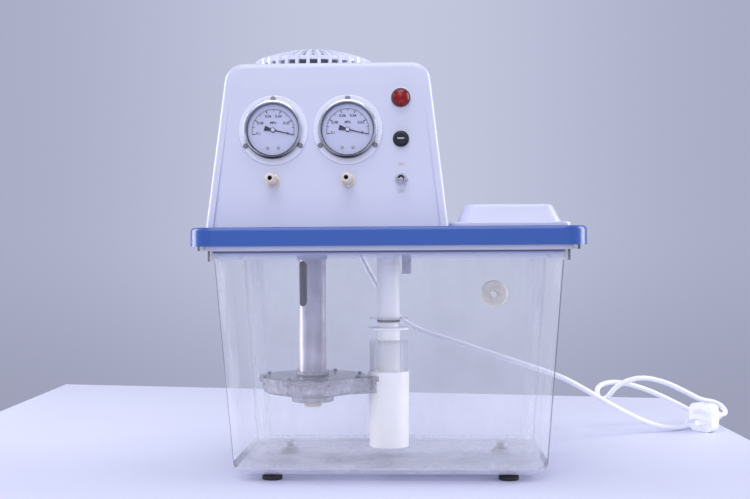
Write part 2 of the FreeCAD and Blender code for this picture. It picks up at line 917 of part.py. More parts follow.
def overflow_shape(item, out=0):
    """Put a shape turned about Z on the rear wall, its Z axis along the wall's outward normal."""
    angle = -90 - math.degrees(math.atan(float(WALL_LEAN)))
    item.Placement = Placement(Vector(), Rotation(ACROSS, angle))
    bind(item, "Placement.Base.x", dim.overflow_x)
    bind(item, "Placement.Base.y", OVERFLOW_Y + as_size(out) / WALL_SLANT)
    bind(item, "Placement.Base.z", dim.overflow_z - as_size(out) * WALL_LEAN / WALL_SLANT)
    return item


def make_overflow():
    """A flanged hose nozzle pushed out through the rear wall, with its nut inside."""
    bore = dim.overflow_bore_radius
    barb = dim.overflow_barb_radius
    flange = dim.overflow_flange_thickness
    length = dim.overflow_barb_length
    thread = -(dim.tank_wall + dim.overflow_nut_thickness + 2)
    nozzle = turned("overflow_nozzle_body", [
        (bore, thread), (dim.overflow_thread_radius, thread), (dim.overflow_thread_radius, 0),
        (dim.overflow_flange_radius, 0), (dim.overflow_flange_radius, flange),
        (dim.overflow_root_radius, flange), (barb, flange + dim.overflow_root_length),
        (barb, length - 1), (barb - 1, length), (bore, length)])
    finished(overflow_shape(nozzle), "overflow_nozzle")
    nut_top = -dim.tank_wall - dim.seat_gap
    nut_bottom = nut_top - dim.overflow_nut_thickness
    nut = turned("overflow_nut_body", [
        (dim.overflow_thread_radius + dim.fit_clearance, nut_bottom),
        (dim.overflow_nut_radius - dim.overflow_nut_bevel, nut_bottom),
        (dim.overflow_nut_radius, nut_bottom + dim.overflow_nut_bevel),
        (dim.overflow_nut_radius, nut_top), (dim.overflow_thread_radius + dim.fit_clearance, nut_top)])
    finished(overflow_shape(nut), "overflow_nut")


def hatch_opening(name, clearance, level, height):
    """The filling opening in the lid, or what passes through it with a clearance."""
    width = dim.hatch_base_width - dim.hatch_wall * 2 - clearance * 2
    depth = dim.hatch_base_depth - dim.hatch_wall * 2 - clearance * 2
    return plate(name, width, depth, dim.hatch_corner - dim.hatch_wall - clearance, level, height,
                 dim.hatch_x, dim.hatch_y)


def make_lid():
    """The blue lid: a shallow moulded tray turned over, with ribs that sit on the tank's rim."""
    wall = dim.lid_wall
    rib = dim.lid_rib
    slab = plate("lid_slab", dim.lid_width, dim.lid_depth, dim.lid_corner, RIM_TOP, dim.lid_height)
    outside = rounded("lid_outside", slab, dim.lid_edge_radius, lambda edge: lies_at(edge, "z", LID_TOP))
    inside = plate("lid_inside", dim.lid_width - wall * 2, dim.lid_depth - wall * 2,
                   dim.lid_corner - wall, RIM_TOP, dim.lid_height - dim.lid_plate)
    seat_width = dim.rim_width - rib
    seat_depth = dim.rim_depth - rib
    seat_corner = dim.tank_top_corner + dim.tank_wall * 2 - rib / 2
    seat = plate("lid_seat", seat_width, seat_depth, seat_corner, RIM_TOP,
                 dim.lid_height - dim.lid_plate + 0.5)
    lip_width = dim.collar_width - dim.tank_wall * 2 - dim.fit_clearance * 4
    lip_depth = dim.collar_depth - dim.tank_wall * 2 - dim.fit_clearance * 4
    lip_corner = dim.tank_top_corner - dim.fit_clearance * 2
    lip = plate("lid_lip", lip_width, lip_depth, lip_corner, RIM_TOP - dim.lid_lip_depth,
                dim.lid_lip_depth + 1)
    hollow = plate("lid_hollow", lip_width - rib * 2, lip_depth - rib * 2, lip_corner - rib,
                   RIM_TOP - dim.lid_lip_depth - 1, dim.lid_lip_depth + dim.lid_height - dim.lid_plate + 1)
    tray = fuse("lid_tray", cut("lid_shell", outside, inside), seat, lip)
    holes = [
        cylinder("lid_column_hole", dim.column_radius + dim.fit_clearance, dim.lid_height,
                 dim.pump_x, 0, RIM_TOP),
        cylinder("lid_tube_hole", dim.tube_radius + dim.fit_clearance, dim.lid_height,
                 dim.ejector_x, 0, RIM_TOP),
        hatch_opening("lid_fill_hole", 0, RIM_TOP, dim.lid_height),
    ]
    for index, (x, y) in enumerate(post_places()):
        holes.append(cylinder(f"lid_screw_hole_{index}", dim.screw_shank_radius + dim.fit_clearance,
                              dim.lid_height, x, y, RIM_TOP))
    return finished(cut("lid", tray, hollow, *holes), "lid_cover")


def make_hatch():
    """The lift-off filling cover: a flange, a raised tapered crown and a locating skirt."""
    wall = dim.hatch_wall
    crown_base = LID_TOP + dim.hatch_flange_thickness
    crown_top = LID_TOP + dim.hatch_height
    slab = plate("hatch_slab", dim.hatch_flange_width, dim.hatch_flange_depth, dim.hatch_corner, LID_TOP,
                 dim.hatch_flange_thickness, dim.hatch_x, dim.hatch_y)
    flange = rounded("hatch_flange", slab, dim.hatch_flange_round,
                     lambda edge: lies_at(edge, "z", crown_base))
    crown = tapered(
        "hatch_crown",
        (dim.hatch_base_width, dim.hatch_base_depth, dim.hatch_corner, LID_TOP),
        (dim.hatch_top_width, dim.hatch_top_depth, dim.hatch_corner, crown_top),
        (dim.hatch_edge_radius, crown_top))
    hollow = tapered(
        "hatch_hollow",
        (dim.hatch_base_width - wall * 4, dim.hatch_base_depth - wall * 4,
         dim.hatch_corner - wall * 2, LID_TOP),
        (dim.hatch_top_width - wall * 2, dim.hatch_top_depth - wall * 2, dim.hatch_corner - wall,
         crown_top - wall))
    for item in (crown.Base, hollow):
        for section in item.Sections:
            bind(section, "Placement.Base.x", dim.hatch_x)
            bind(section, "Placement.Base.y", dim.hatch_y)
    skirt = hatch_opening("hatch_skirt", dim.fit_clearance * 2, LID_TOP - dim.hatch_skirt,
                          dim.hatch_skirt + 1)
    skirt_hollow = hatch_opening("hatch_skirt_hollow", wall, LID_TOP - dim.hatch_skirt - 1,
                                 dim.hatch_skirt + 2)
    cover = cut("hatch", fuse("hatch_solid", flange, crown, skirt), hollow, skirt_hollow)
    return finished(cover, "hatch_cover")


def hood_form(name, inset, front_low, front_high, base):
    """The hood's outer or inner form: its front outline cut to its side outline.

    The front leans from one depth at the lid to another at the hood's top.
    """
    low = dim.hood_base_width / 2 - inset
    high = dim.hood_top_width / 2 - inset
    top = HOOD_TOP - inset
    corner = dim.hood_corner - inset
    front = prism(f"{name}_front", [
        (dim.hood_x - low, base), (dim.hood_x + low, base),
        (dim.hood_x + high, top, corner), (dim.hood_x - high, top, corner)],
        "back", -dim.hood_front - CUT_MARGIN, dim.hood_front + dim.hood_back + CUT_MARGIN * 2)
    rise = dim.hood_height - inset + CUT_MARGIN
    side = prism(f"{name}_side", [
        (front_low, base), (dim.hood_back - inset, base), (dim.hood_back - inset, base + rise),
        (front_low + (front_high - front_low) * rise / dim.hood_height, base + rise)],
        "right", dim.hood_x - dim.hood_base_width, dim.hood_base_width * 2)
    return common(name, front, side)


# The front panel's own frame: along its slope upwards and out from its face
PANEL_SIN = sine(dim.panel_tilt)
PANEL_COS = cosine(dim.panel_tilt)
PANEL_Y = dim.recess_depth - dim.hood_front


def on_panel(item, x, rise, out=0):
    """Put a shape turned about Z on the front panel, its Z axis along the outward normal."""
    item.Placement = Placement(Vector(), Rotation(ACROSS, 90 - float(dim.panel_tilt)))
    bind(item, "Placement.Rotation.Angle", 90 - dim.panel_tilt)
    bind(item, "Placement.Base.x", x)
    bind(item, "Placement.Base.y", PANEL_Y + as_size(rise) * PANEL_SIN - as_size(out) * PANEL_COS)
    bind(item, "Placement.Base.z", LID_TOP + as_size(rise) * PANEL_COS + as_size(out) * PANEL_SIN)
    return item


def gauge_places():
    return [(dim.gauge_centre_x - dim.gauge_spread / 2, "left"),
            (dim.gauge_centre_x + dim.gauge_spread / 2, "right")]


def gauge_screw_places(x):
    """The three flange screws: one at the top and two low down."""
    circle_radius = dim.gauge_screw_circle
    return [(x + circle_radius * cosine(angle), dim.gauge_height + circle_radius * sine(angle))
            for angle in GAUGE_SCREW_ANGLES]


def post_places():
    """The hood's four screw posts, inside its corners."""
    reach = dim.hood_base_width / 2 - dim.post_inset
    front = dim.recess_depth + dim.post_inset - dim.hood_front
    back = dim.hood_back - dim.post_inset
    return [(dim.hood_x + reach * i, y) for i in (-1, 1) for y in (front, back)]


def hood_recess():
    """The wedge that sinks the front panel: deepest at the lid, gone where the two planes meet."""
    border = dim.recess_border
    low = dim.hood_base_width / 2 - border
    high = dim.hood_top_width / 2 - border
    front = prism("recess_front", [
        (dim.hood_x - low, LID_TOP), (dim.hood_x + low, LID_TOP),
        (dim.hood_x + high, HOOD_TOP - border, dim.recess_corner),
        (dim.hood_x - high, HOOD_TOP - border, dim.recess_corner)],
        "back", -dim.hood_front - CUT_MARGIN, dim.hood_front)
    run = dim.hood_height
    before_hood = -dim.hood_front - CUT_MARGIN / 2
    side = prism("recess_side", [
        (before_hood, LID_TOP), (PANEL_Y, LID_TOP),
        (PANEL_Y + run * tangent(dim.panel_tilt), LID_TOP + run), (before_hood, LID_TOP + run)],
        "right", dim.hood_x - dim.hood_base_width, dim.hood_base_width * 2)
    return common("recess", front, side)


def panel_holes():
    """Everything that passes through the front panel."""
    deep = dim.panel_drill_depth
    holes = []
    for x, side in gauge_places():
        for name, radius, rise in (("gauge", dim.gauge_case_radius, dim.gauge_height),
                                   ("tap", dim.tap_thread_radius, dim.tap_height)):
            hole = cylinder(f"{name}_hole_{side}", radius + dim.fit_clearance, deep)
            holes.append(on_panel(hole, x, rise, -deep / 2))
        for index, (screw_x, rise) in enumerate(gauge_screw_places(x)):
            hole = cylinder(f"gauge_screw_hole_{side}_{index}",
                            dim.screw_shank_radius + dim.fit_clearance, deep)
            holes.append(on_panel(hole, screw_x, rise, -deep / 2))
    for name, radius, rise in (("lamp", dim.lamp_body_radius, dim.lamp_height),
                               ("fuse", dim.fuse_body_radius, dim.fuse_height),
                               ("switch", dim.switch_bush_radius, dim.switch_height)):
        hole = cylinder(f"{name}_hole", radius + dim.fit_clearance, deep)
        holes.append(on_panel(hole, dim.control_x, rise, -deep / 2))
    return holes


def make_hood():
    """The white hood: a leaning shell with a sunk front panel, a fan opening and screw posts."""
    outside = hood_form("hood_outside", as_size(0), -dim.hood_front, dim.hood_front_lean - dim.hood_front,
                        LID_TOP)
    doc.recompute()
    soft = rounded("hood_soft", outside, dim.hood_edge_radius, hood_outline_edge)
    inner_front = PANEL_Y + dim.hood_wall / PANEL_COS
    inside = hood_form("hood_inside", dim.hood_wall, inner_front,
                       inner_front + dim.hood_height * tangent(dim.panel_tilt), LID_TOP)
    shell = cut("hood_shell_open", soft, hood_recess(), inside)
    posts = []
    bores = []
    for index, (x, y) in enumerate(post_places()):
        post = cylinder(f"hood_post_{index}", dim.post_radius, dim.post_height, x, y, LID_TOP)
        web = box(f"hood_web_{index}", dim.post_inset, dim.hood_wall, dim.post_height,
                  x + (dim.post_inset / 2 if index >= 2 else -dim.post_inset / 2), y, LID_TOP)
        posts += [post, web]
        bores.append(cylinder(f"hood_post_bore_{index}", dim.screw_shank_radius + dim.fit_clearance,
                              dim.post_height - 4, x, y, LID_TOP))
    opening = cylinder("hood_fan_opening", dim.cap_radius - dim.cap_wall, dim.hood_wall * 4,
                       dim.cap_x, dim.cap_y, HOOD_TOP - dim.hood_wall * 2)
    gland = cylinder("hood_gland_hole", dim.cord_radius + 2, dim.hood_wall * 4, dim.gland_x,
                     dim.hood_back + dim.hood_wall, LID_TOP + dim.gland_height, ACROSS, 90)
    trimmed = common("hood_posts", fuse("hood_post_set", *posts), outside)
    solid = fuse("hood_with_posts", shell, trimmed)
    hood = cut("hood", solid, opening, gland, *panel_holes(), *bores)
    return finished(hood, "hood_shell")


def hood_outline_edge(edge):
    """The edges round the hood's front and rear faces, but not along its foot."""
    box_of = edge.BoundBox
    if box_of.ZMax < float(LID_TOP) + 1:
        return False
    rear = abs(box_of.YMin - float(dim.hood_back)) < SAME_PLACE
    lean = float(dim.hood_front_lean) / float(dim.hood_height)
    front = all(abs(point.Y + float(dim.hood_front) - lean * (point.Z - float(LID_TOP))) < SAME_PLACE
                for point in edge.Vertexes)
    return rear or front


def make_hood_screws():
    screws = []
    for index, (x, y) in enumerate(post_places()):
        length = dim.lid_plate + dim.hood_screw_grip
        screw = turned(f"hood_screw_{index}", [
            (0, -dim.screw_head_height), (dim.screw_head_radius, -dim.screw_head_height),
            (dim.screw_head_radius, 0), (dim.screw_shank_radius, 0), (dim.screw_shank_radius, length),
            (0, length)])
        screws.append(place(screw, x, y, LID_UNDER))
    return group("hood_screws", screws)


# The cap's dome is a ball whose centre lies on the cap's axis
CAP_RISE = dim.cap_height - dim.cap_rib_height - dim.cap_shoulder
CAP_BALL = (dim.cap_radius * dim.cap_radius + CAP_RISE * CAP_RISE) / 2 / CAP_RISE


def domed_form(name, grown, bottom):
    """The cap's round form, grown or shrunk by one distance all over."""
    radius = dim.cap_radius + grown
    ball = CAP_BALL + grown
    crown = dim.cap_height - dim.cap_rib_height + grown
    shoulder = crown - ball + root(ball * ball - radius * radius)
    return turned(name, [(0, bottom), (radius, bottom), (radius, shoulder), (0, crown)], {2: ball})


def spokes(name, inner, outer, width, low, high, phase):
    """Radial bars, evenly spaced about Z, kept as one group of separate solids."""
    bars = []
    for index in range(int(SIZES["cap_rib_count"])):
        angle = as_size(360) / dim.cap_rib_count * (index + phase)
        bar = doc.addObject("Part::Box", f"{name}_{index}")
        bind(bar, "Length", outer - inner)
        bind(bar, "Width", width)
        bind(bar, "Height", high - low)
        bars.append(place(bar, inner * cosine(angle) + width / 2 * sine(angle),
                          inner * sine(angle) - width / 2 * cosine(angle), low, UP, angle))
    item = doc.addObject("Part::Compound", name)
    item.Links = bars
    return item


def make_cap():
    """The motor cap: a low dome with ribs that stand proud and two rows of slots between them."""
    wall = dim.cap_wall
    rib = dim.cap_rib_height
    outer = dim.cap_radius + rib
    flange = cylinder("cap_flange", dim.cap_flange_radius, dim.cap_flange_thickness)
    shell = domed_form("cap_shell", as_size(0), 0)
    bars = spokes("cap_bars", dim.cap_rib_start, outer + 1, dim.cap_rib_width,
                  dim.cap_flange_thickness / 2, dim.cap_height + 1, 0)
    ribs = common("cap_ribs", domed_form("cap_rib_form", rib, 0), bars)
    hollow = domed_form("cap_hollow", -wall, -1)
    windows = spokes("cap_windows", dim.cap_radius - wall * 2, outer + 1, dim.cap_window_width,
                     dim.cap_window_low, dim.cap_window_high, 0.5)
    slots = spokes("cap_slots", dim.cap_slot_inner, dim.cap_slot_outer, dim.cap_slot_width,
                   dim.cap_window_high, dim.cap_height + 1, 0.5)
    open_shell = cut("cap_open", fuse("cap_solid", flange, shell, ribs), hollow)
    cap = cut("cap", cut("cap_windowed", open_shell, windows), slots)
    place(cap, dim.cap_x, dim.cap_y, HOOD_TOP, UP, -90)
    return finished(cap, "motor_cap")


# Levels on the pump axis, from the column's flange up and from its foot down
BELL_BASE = LID_TOP + dim.column_flange_thickness
HOUSING_BASE = BELL_BASE + dim.bell_height
HOUSING_TOP = HOUSING_BASE + dim.housing_length
BELL_TOP = HOUSING_TOP + dim.bell_height
CORE_BASE = HOUSING_BASE + (dim.housing_length - dim.core_length) / 2
CORE_TOP = CORE_BASE + dim.core_length
BEARING_BASE = BELL_BASE + dim.bell_thickness
FAN_BASE = BELL_TOP + dim.fan_gap
FAN_TOP = FAN_BASE + dim.fan_height
COVER_TOP = dim.column_bottom
COVER_BASE = COVER_TOP - dim.cover_thickness
IMPELLER_TOP = COVER_BASE - dim.impeller_gap
IMPELLER_BASE = IMPELLER_TOP - dim.impeller_height
CORE_RADIUS = dim.motor_radius - dim.motor_wall - dim.fit_clearance
SHAFT_HOLE = dim.shaft_radius + dim.running_clearance


def on_pump_axis(label, corners, arcs=None):
    body = turned(f"{label}_body", corners, arcs)
    return finished(place(body, dim.pump_x, 0, 0), label)


def make_motor():
    """A vertical capacitor motor: housing, two end bells with bearings, stator and rotor."""
    outer = dim.motor_radius
    hub = dim.bell_hub_radius
    sheet_thickness = dim.bell_thickness
    on_pump_axis("motor_housing", tube_corners(outer, outer - dim.motor_wall, HOUSING_BASE, HOUSING_TOP))
    seat = dim.bearing_radius
    bearing_top = BEARING_BASE + dim.bearing_width
    on_pump_axis("lower_end_bell", [
        (SHAFT_HOLE + 2, BELL_BASE), (outer, BELL_BASE, 3), (outer, HOUSING_BASE),
        (outer - dim.motor_wall, HOUSING_BASE), (outer - dim.motor_wall, BEARING_BASE), (hub, BEARING_BASE),
        (hub, bearing_top), (seat, bearing_top), (seat, BEARING_BASE), (SHAFT_HOLE + 2, BEARING_BASE)])
    upper_seat = BELL_TOP - sheet_thickness
    on_pump_axis("upper_end_bell", [
        (SHAFT_HOLE + 2, upper_seat), (seat, upper_seat), (seat, upper_seat - dim.bearing_width),
        (hub, upper_seat - dim.bearing_width), (hub, upper_seat), (outer - dim.motor_wall, upper_seat),
        (outer - dim.motor_wall, HOUSING_TOP), (outer, HOUSING_TOP), (outer, BELL_TOP, 3),
        (SHAFT_HOLE + 2, BELL_TOP)])
    bearings = []
    for index, level in enumerate((BEARING_BASE, upper_seat - dim.bearing_width)):
        ring = turned(f"bearing_{index}", [
            (SHAFT_HOLE, level), (seat, level, dim.edge_round),
            (seat, level + dim.bearing_width, dim.edge_round),
            (SHAFT_HOLE, level + dim.bearing_width)])
        bearings.append(place(ring, dim.pump_x, 0, 0))
    group("bearings", bearings)
    on_pump_axis("stator_core", tube_corners(CORE_RADIUS, dim.core_bore_radius, CORE_BASE, CORE_TOP))
    middle = (CORE_RADIUS + dim.core_bore_radius) / 2
    half = (CORE_RADIUS - dim.core_bore_radius) / 2 - dim.winding_inset
    coils = []
    for index, (low, high) in enumerate(((CORE_BASE - dim.winding_height, CORE_BASE),
                                         (CORE_TOP, CORE_TOP + dim.winding_height))):
        corners = tube_corners(middle + half, middle - half, low, high)
        coil = turned(f"coil_{index}", [corner + (4,) for corner in corners])
        coils.append(place(coil, dim.pump_x, 0, 0))
    group("stator_windings", coils)
    on_pump_axis("rotor_core", tube_corners(dim.core_bore_radius - dim.air_gap, dim.shaft_radius,
                                            CORE_BASE, CORE_TOP))
    tip = IMPELLER_BASE - dim.shaft_end
    on_pump_axis("motor_shaft", [
        (0, tip), (dim.shaft_radius - 1, tip), (dim.shaft_radius, tip + 1),
        (dim.shaft_radius, FAN_TOP + 1), (dim.shaft_radius - 1, FAN_TOP + 2), (0, FAN_TOP + 2)])


def blade(name, centre, radius, thickness, start, sweep, level, height, turn):
    """An upright blade bent to an arc, standing off the axis and turned about it."""
    parts = []
    for suffix, size, drop in (("back", radius + thickness / 2, 0), ("face", radius - thickness / 2, 1)):
        sector = doc.addObject("Part::Cylinder", f"{name}_{suffix}")
        bind(sector, "Radius", size)
        bind(sector, "Height", height + 2 * drop)
        sector.Angle = sweep if suffix == "back" else 360.0
        place(sector, 0, 0, -drop)
        parts.append(sector)
    item = cut(name, *parts)
    return place(item, centre * cosine(turn), centre * sine(turn), level, UP, turn + start)


def make_fan():
    """The cooling fan on the top of the shaft: a plate, a hub and upright blades."""
    bore = dim.shaft_radius
    core = turned("fan_core", [
        (bore, FAN_BASE), (dim.fan_radius, FAN_BASE), (dim.fan_radius, FAN_BASE + dim.fan_plate),
        (dim.fan_hub_radius, FAN_BASE + dim.fan_plate), (dim.fan_hub_radius, FAN_TOP), (bore, FAN_TOP)])
    blades = []
    bend = dim.fan_radius * dim.fan_blade_share
    for index in range(int(SIZES["fan_blade_count"])):
        turn = as_size(360) / dim.fan_blade_count * index
        blades.append(blade(f"fan_blade_{index}", bend, bend, dim.fan_blade_thickness, *FAN_BLADE_ARC,
                            FAN_BASE + dim.fan_plate / 2, dim.fan_height - dim.fan_plate / 2, turn))
    fan = place(fuse("fan", core, *blades), dim.pump_x, 0, 0)
    return finished(fan, "cooling_fan")


def make_column():
    """The stainless column: a tube with a mounting flange and one long slot in its wall."""
    outer = dim.column_radius
    inner = outer - dim.column_wall
    top = LID_TOP + dim.column_flange_thickness
    tube = turned("column_tube", [
        (inner, dim.column_bottom), (outer, dim.column_bottom), (outer, LID_TOP),
        (dim.column_flange_radius, LID_TOP), (dim.column_flange_radius, top), (inner, top)])
    radius = dim.column_slot_width / 2
    run = dim.column_slot_height - dim.column_slot_width
    slot_low = dim.column_slot_bottom + radius
    ends = [cylinder(f"slot_end_{index}", radius, outer * 2, 0, 0, level, DEEP, 90)
            for index, level in enumerate((slot_low, slot_low + run))]
    middle = box("slot_middle", outer * 2, radius * 2, run, outer, 0, slot_low)
    slot = place(fuse("column_slot", middle, *ends), 0, 0, 0, UP, dim.column_slot_angle)
    column = place(cut("column", tube, slot), dim.pump_x, 0, 0)
    finished(column, "pump_column")
    ring_top = LID_UNDER
    on_pump_axis("column_collar", [
        (outer + dim.running_clearance, ring_top - dim.collar_ring_length),
        (dim.collar_ring_radius, ring_top - dim.collar_ring_length),
        (dim.collar_ring_radius, ring_top), (outer + dim.running_clearance, ring_top)])
    on_pump_axis("shaft_bush", tube_corners(inner, SHAFT_HOLE, dim.column_bottom,
                                            dim.column_bottom + dim.bush_length))


# The outlet leaves the impeller housing along a tangent that runs straight to the ejector line
OUTLET_SPAN = dim.ejector_x - dim.pump_x
OUTLET_SIN = dim.outlet_tangent_radius / OUTLET_SPAN
OUTLET_COS = root(1 - OUTLET_SIN * OUTLET_SIN)
OUTLET_RUN = OUTLET_SPAN * OUTLET_COS
OUTLET_ANGLE = math.degrees(math.asin(float(OUTLET_SIN)))


def outlet_bar(name, width, start, stop, level, height):
    """A straight bar along the outlet's tangent, between two distances along it."""
    item = doc.addObject("Part::Box", name)
    bind(item, "Length", stop - start)
    bind(item, "Width", width)
    bind(item, "Height", height)
    return on_outlet(item, start, -width / 2, level)


def on_outlet(item, along, aside, level):
    """Put an object on the tangent line: along it, aside from it and at a level."""
    item.Placement = Placement(Vector(), Rotation(UP, OUTLET_ANGLE))
    across = aside - dim.outlet_tangent_radius
    bind(item, "Placement.Base.x", dim.pump_x + along * OUTLET_COS - across * OUTLET_SIN)
    bind(item, "Placement.Base.y", along * OUTLET_SIN + across * OUTLET_COS)
    bind(item, "Placement.Base.z", level)
    return item


def silencer_radius(level):
    """The outer radius of the tapered silencer at a level."""
    share = (level - dim.silencer_bottom) / (dim.silencer_top - dim.silencer_bottom)
    return dim.silencer_bottom_radius + (dim.silencer_top_radius - dim.silencer_bottom_radius) * share


def make_volute():
    """The clear impeller housing: a bowl with a flange and outlet box, and the cover plate above."""
    wall = dim.volute_wall
    flange_low = COVER_BASE - dim.volute_flange_thickness
    knee = COVER_BASE - dim.volute_knee_depth
    bottom = COVER_BASE - dim.volute_depth
    ring_low = bottom - dim.volute_ring_depth
    gap = dim.silencer_top_radius + dim.fit_clearance
    stop = OUTLET_RUN
    clear = cylinder("outlet_clearance", gap, dim.silencer_top, dim.ejector_x, 0, 0)
    bore = dim.inlet_radius + dim.inlet_wall
    bowl = turned("volute_bowl", [
        (bore, ring_low), (dim.volute_ring_radius, ring_low, dim.volute_ring_round),
        (dim.volute_ring_radius, bottom), (dim.volute_throat_radius, bottom),
        (dim.volute_radius, knee, dim.volute_knee_round), (dim.volute_radius, flange_low),
        (dim.flange_radius, flange_low), (dim.flange_radius, COVER_BASE), (bore, COVER_BASE)])
    hollow = turned("volute_hollow", [
        (0, bottom + wall), (dim.volute_throat_radius - wall, bottom + wall),
        (dim.volute_radius - wall * 2, knee + 1), (dim.volute_radius - wall * 2, COVER_BASE + 1),
        (0, COVER_BASE + 1)])
    for item in (bowl, hollow):
        place(item, dim.pump_x, 0, 0)
    block = outlet_bar("outlet_block", dim.outlet_width, as_size(0), stop,
                       COVER_BASE - dim.outlet_depth, dim.outlet_depth)
    lip = outlet_bar("outlet_lip", dim.outlet_width + wall * 2, as_size(0), stop, flange_low,
                     dim.volute_flange_thickness)
    channel_stop = stop - gap - wall - 1
    channel = outlet_bar("outlet_channel", dim.outlet_width - wall * 2, -dim.outlet_width / 2, channel_stop,
                         COVER_BASE - dim.outlet_depth + wall, dim.outlet_depth)
    middle = COVER_BASE - dim.outlet_depth / 2 - dim.outlet_drop
    spigot_stop = stop - gap + dim.spigot_reach
    spigot = outlet_rod("outlet_spigot", dim.spigot_radius, stop - gap - wall * 2, spigot_stop, middle)
    way = outlet_rod("outlet_way", dim.spigot_radius - dim.spigot_wall, channel_stop - 1, spigot_stop + 1,
                     middle)
    solid = cut("volute_solid", fuse("volute_block", bowl, block, lip), clear)
    body = cut("volute", fuse("volute_with_spigot", solid, spigot), hollow, channel, way)
    finished(body, "volute_body")
    hub_top = COVER_TOP + dim.cover_hub_height
    disc = turned("cover_disc", [
        (SHAFT_HOLE + 1, COVER_BASE), (dim.flange_radius, COVER_BASE), (dim.flange_radius, COVER_TOP),
        (dim.cover_hub_radius, COVER_TOP), (dim.cover_hub_radius, hub_top),
        (dim.column_radius + dim.running_clearance, hub_top),
        (dim.column_radius + dim.running_clearance, COVER_TOP), (SHAFT_HOLE + 1, COVER_TOP)])
    place(disc, dim.pump_x, 0, 0)
    tongue = outlet_bar("cover_tongue", dim.outlet_width + wall * 2, as_size(0), stop, COVER_BASE,
                        dim.cover_thickness)
    shaft_way = cylinder("cover_shaft_way", SHAFT_HOLE + 1, dim.cover_thickness * 3, dim.pump_x, 0,
                         COVER_BASE - dim.cover_thickness)
    finished(cut("cover", fuse("cover_solid", disc, tongue), clear, shaft_way, *screw_holes("cover")),
             "volute_cover")
    pieces["volute_body"] = finished(cut("volute_drilled", body, *screw_holes("body")), "volute_body")
    on_pump_axis("inlet_ring", [
        (dim.inlet_radius - dim.inlet_wall, ring_low - dim.inlet_length),
        (dim.inlet_radius, ring_low - dim.inlet_length, dim.edge_round), (dim.inlet_radius, ring_low),
        (bore, ring_low), (bore, bottom), (dim.inlet_radius - dim.inlet_wall, bottom)])


def outlet_rod(name, radius, start, stop, level):
    """A round bar along the outlet's tangent."""
    item = doc.addObject("Part::Cylinder", name)
    bind(item, "Radius", radius)
    bind(item, "Height", stop - start)
    on_outlet(item, start, as_size(0), level)
    item.Placement = Placement(Vector(), Rotation(UP, OUTLET_ANGLE) * Rotation(DEEP, 90))
    return item


def volute_screw_places():
    """The screws stand on one circle, clear of the outlet box."""
    count = int(SIZES["volute_screw_count"])
    step = as_size(360) / dim.volute_screw_count
    angles = [step * (index + 0.5) for index in range(count)]
    return [(dim.pump_x + dim.volute_screw_circle * cosine(angle), dim.volute_screw_circle * sine(angle))
            for angle in angles]


def screw_holes(name):
    depth = dim.cover_thickness + dim.volute_flange_thickness
    return [cylinder(f"{name}_screw_hole_{index}", dim.screw_shank_radius + dim.fit_clearance, depth * 3,
                     x, y, COVER_BASE - depth) for index, (x, y) in enumerate(volute_screw_places())]


def make_volute_screws():
    screws = []
    depth = dim.cover_thickness + dim.volute_flange_thickness
    for index, (x, y) in enumerate(volute_screw_places()):
        screw = turned(f"volute_screw_{index}", [
            (0, -depth), (dim.screw_shank_radius, -depth), (dim.screw_shank_radius, 0),
            (dim.screw_head_radius, 0), (dim.screw_head_radius, dim.screw_head_height),
            (0, dim.screw_head_height)])
        screws.append(place(screw, x, y, COVER_TOP))
    return group("volute_screws", screws)


def make_impeller():
    """The open impeller: a plate with a hub below and blades bent back against the turn above."""
    bore = dim.shaft_radius
    plate_top = IMPELLER_BASE + dim.impeller_plate
    core = turned("impeller_core", [
        (bore, IMPELLER_BASE), (dim.impeller_radius, IMPELLER_BASE), (dim.impeller_radius, plate_top),
        (dim.impeller_hub_radius, plate_top), (dim.impeller_hub_radius, IMPELLER_TOP), (bore, IMPELLER_TOP)])
    bend = dim.impeller_blade_radius
    centre = bend * dim.impeller_centre_share
    blades = []
    for index in range(int(SIZES["impeller_blade_count"])):
        turn = as_size(360) / dim.impeller_blade_count * index
        blades.append(blade(f"impeller_blade_{index}", centre, bend, dim.impeller_blade_thickness,
                            *IMPELLER_BLADE_ARC, plate_top - dim.blade_root,
                            IMPELLER_TOP - plate_top + dim.blade_root, turn))
    wheel = place(fuse("impeller_wheel", core, *blades), dim.pump_x, 0, 0)
    return finished(wheel, "impeller")


SEAL_BASE = dim.tube_bottom - dim.seal_height
NECK_BASE = SEAL_BASE - dim.neck_height
FLANGE_BASE = NECK_BASE - dim.chamber_flange_thickness
CHAMBER_TOP = dim.silencer_top + dim.chamber_height
CEILING = CHAMBER_TOP - dim.chamber_roof


def on_ejector_axis(label, corners, arcs=None):
    body = turned(f"{label}_body", corners, arcs)
    return finished(place(body, dim.ejector_x, 0, 0), label)


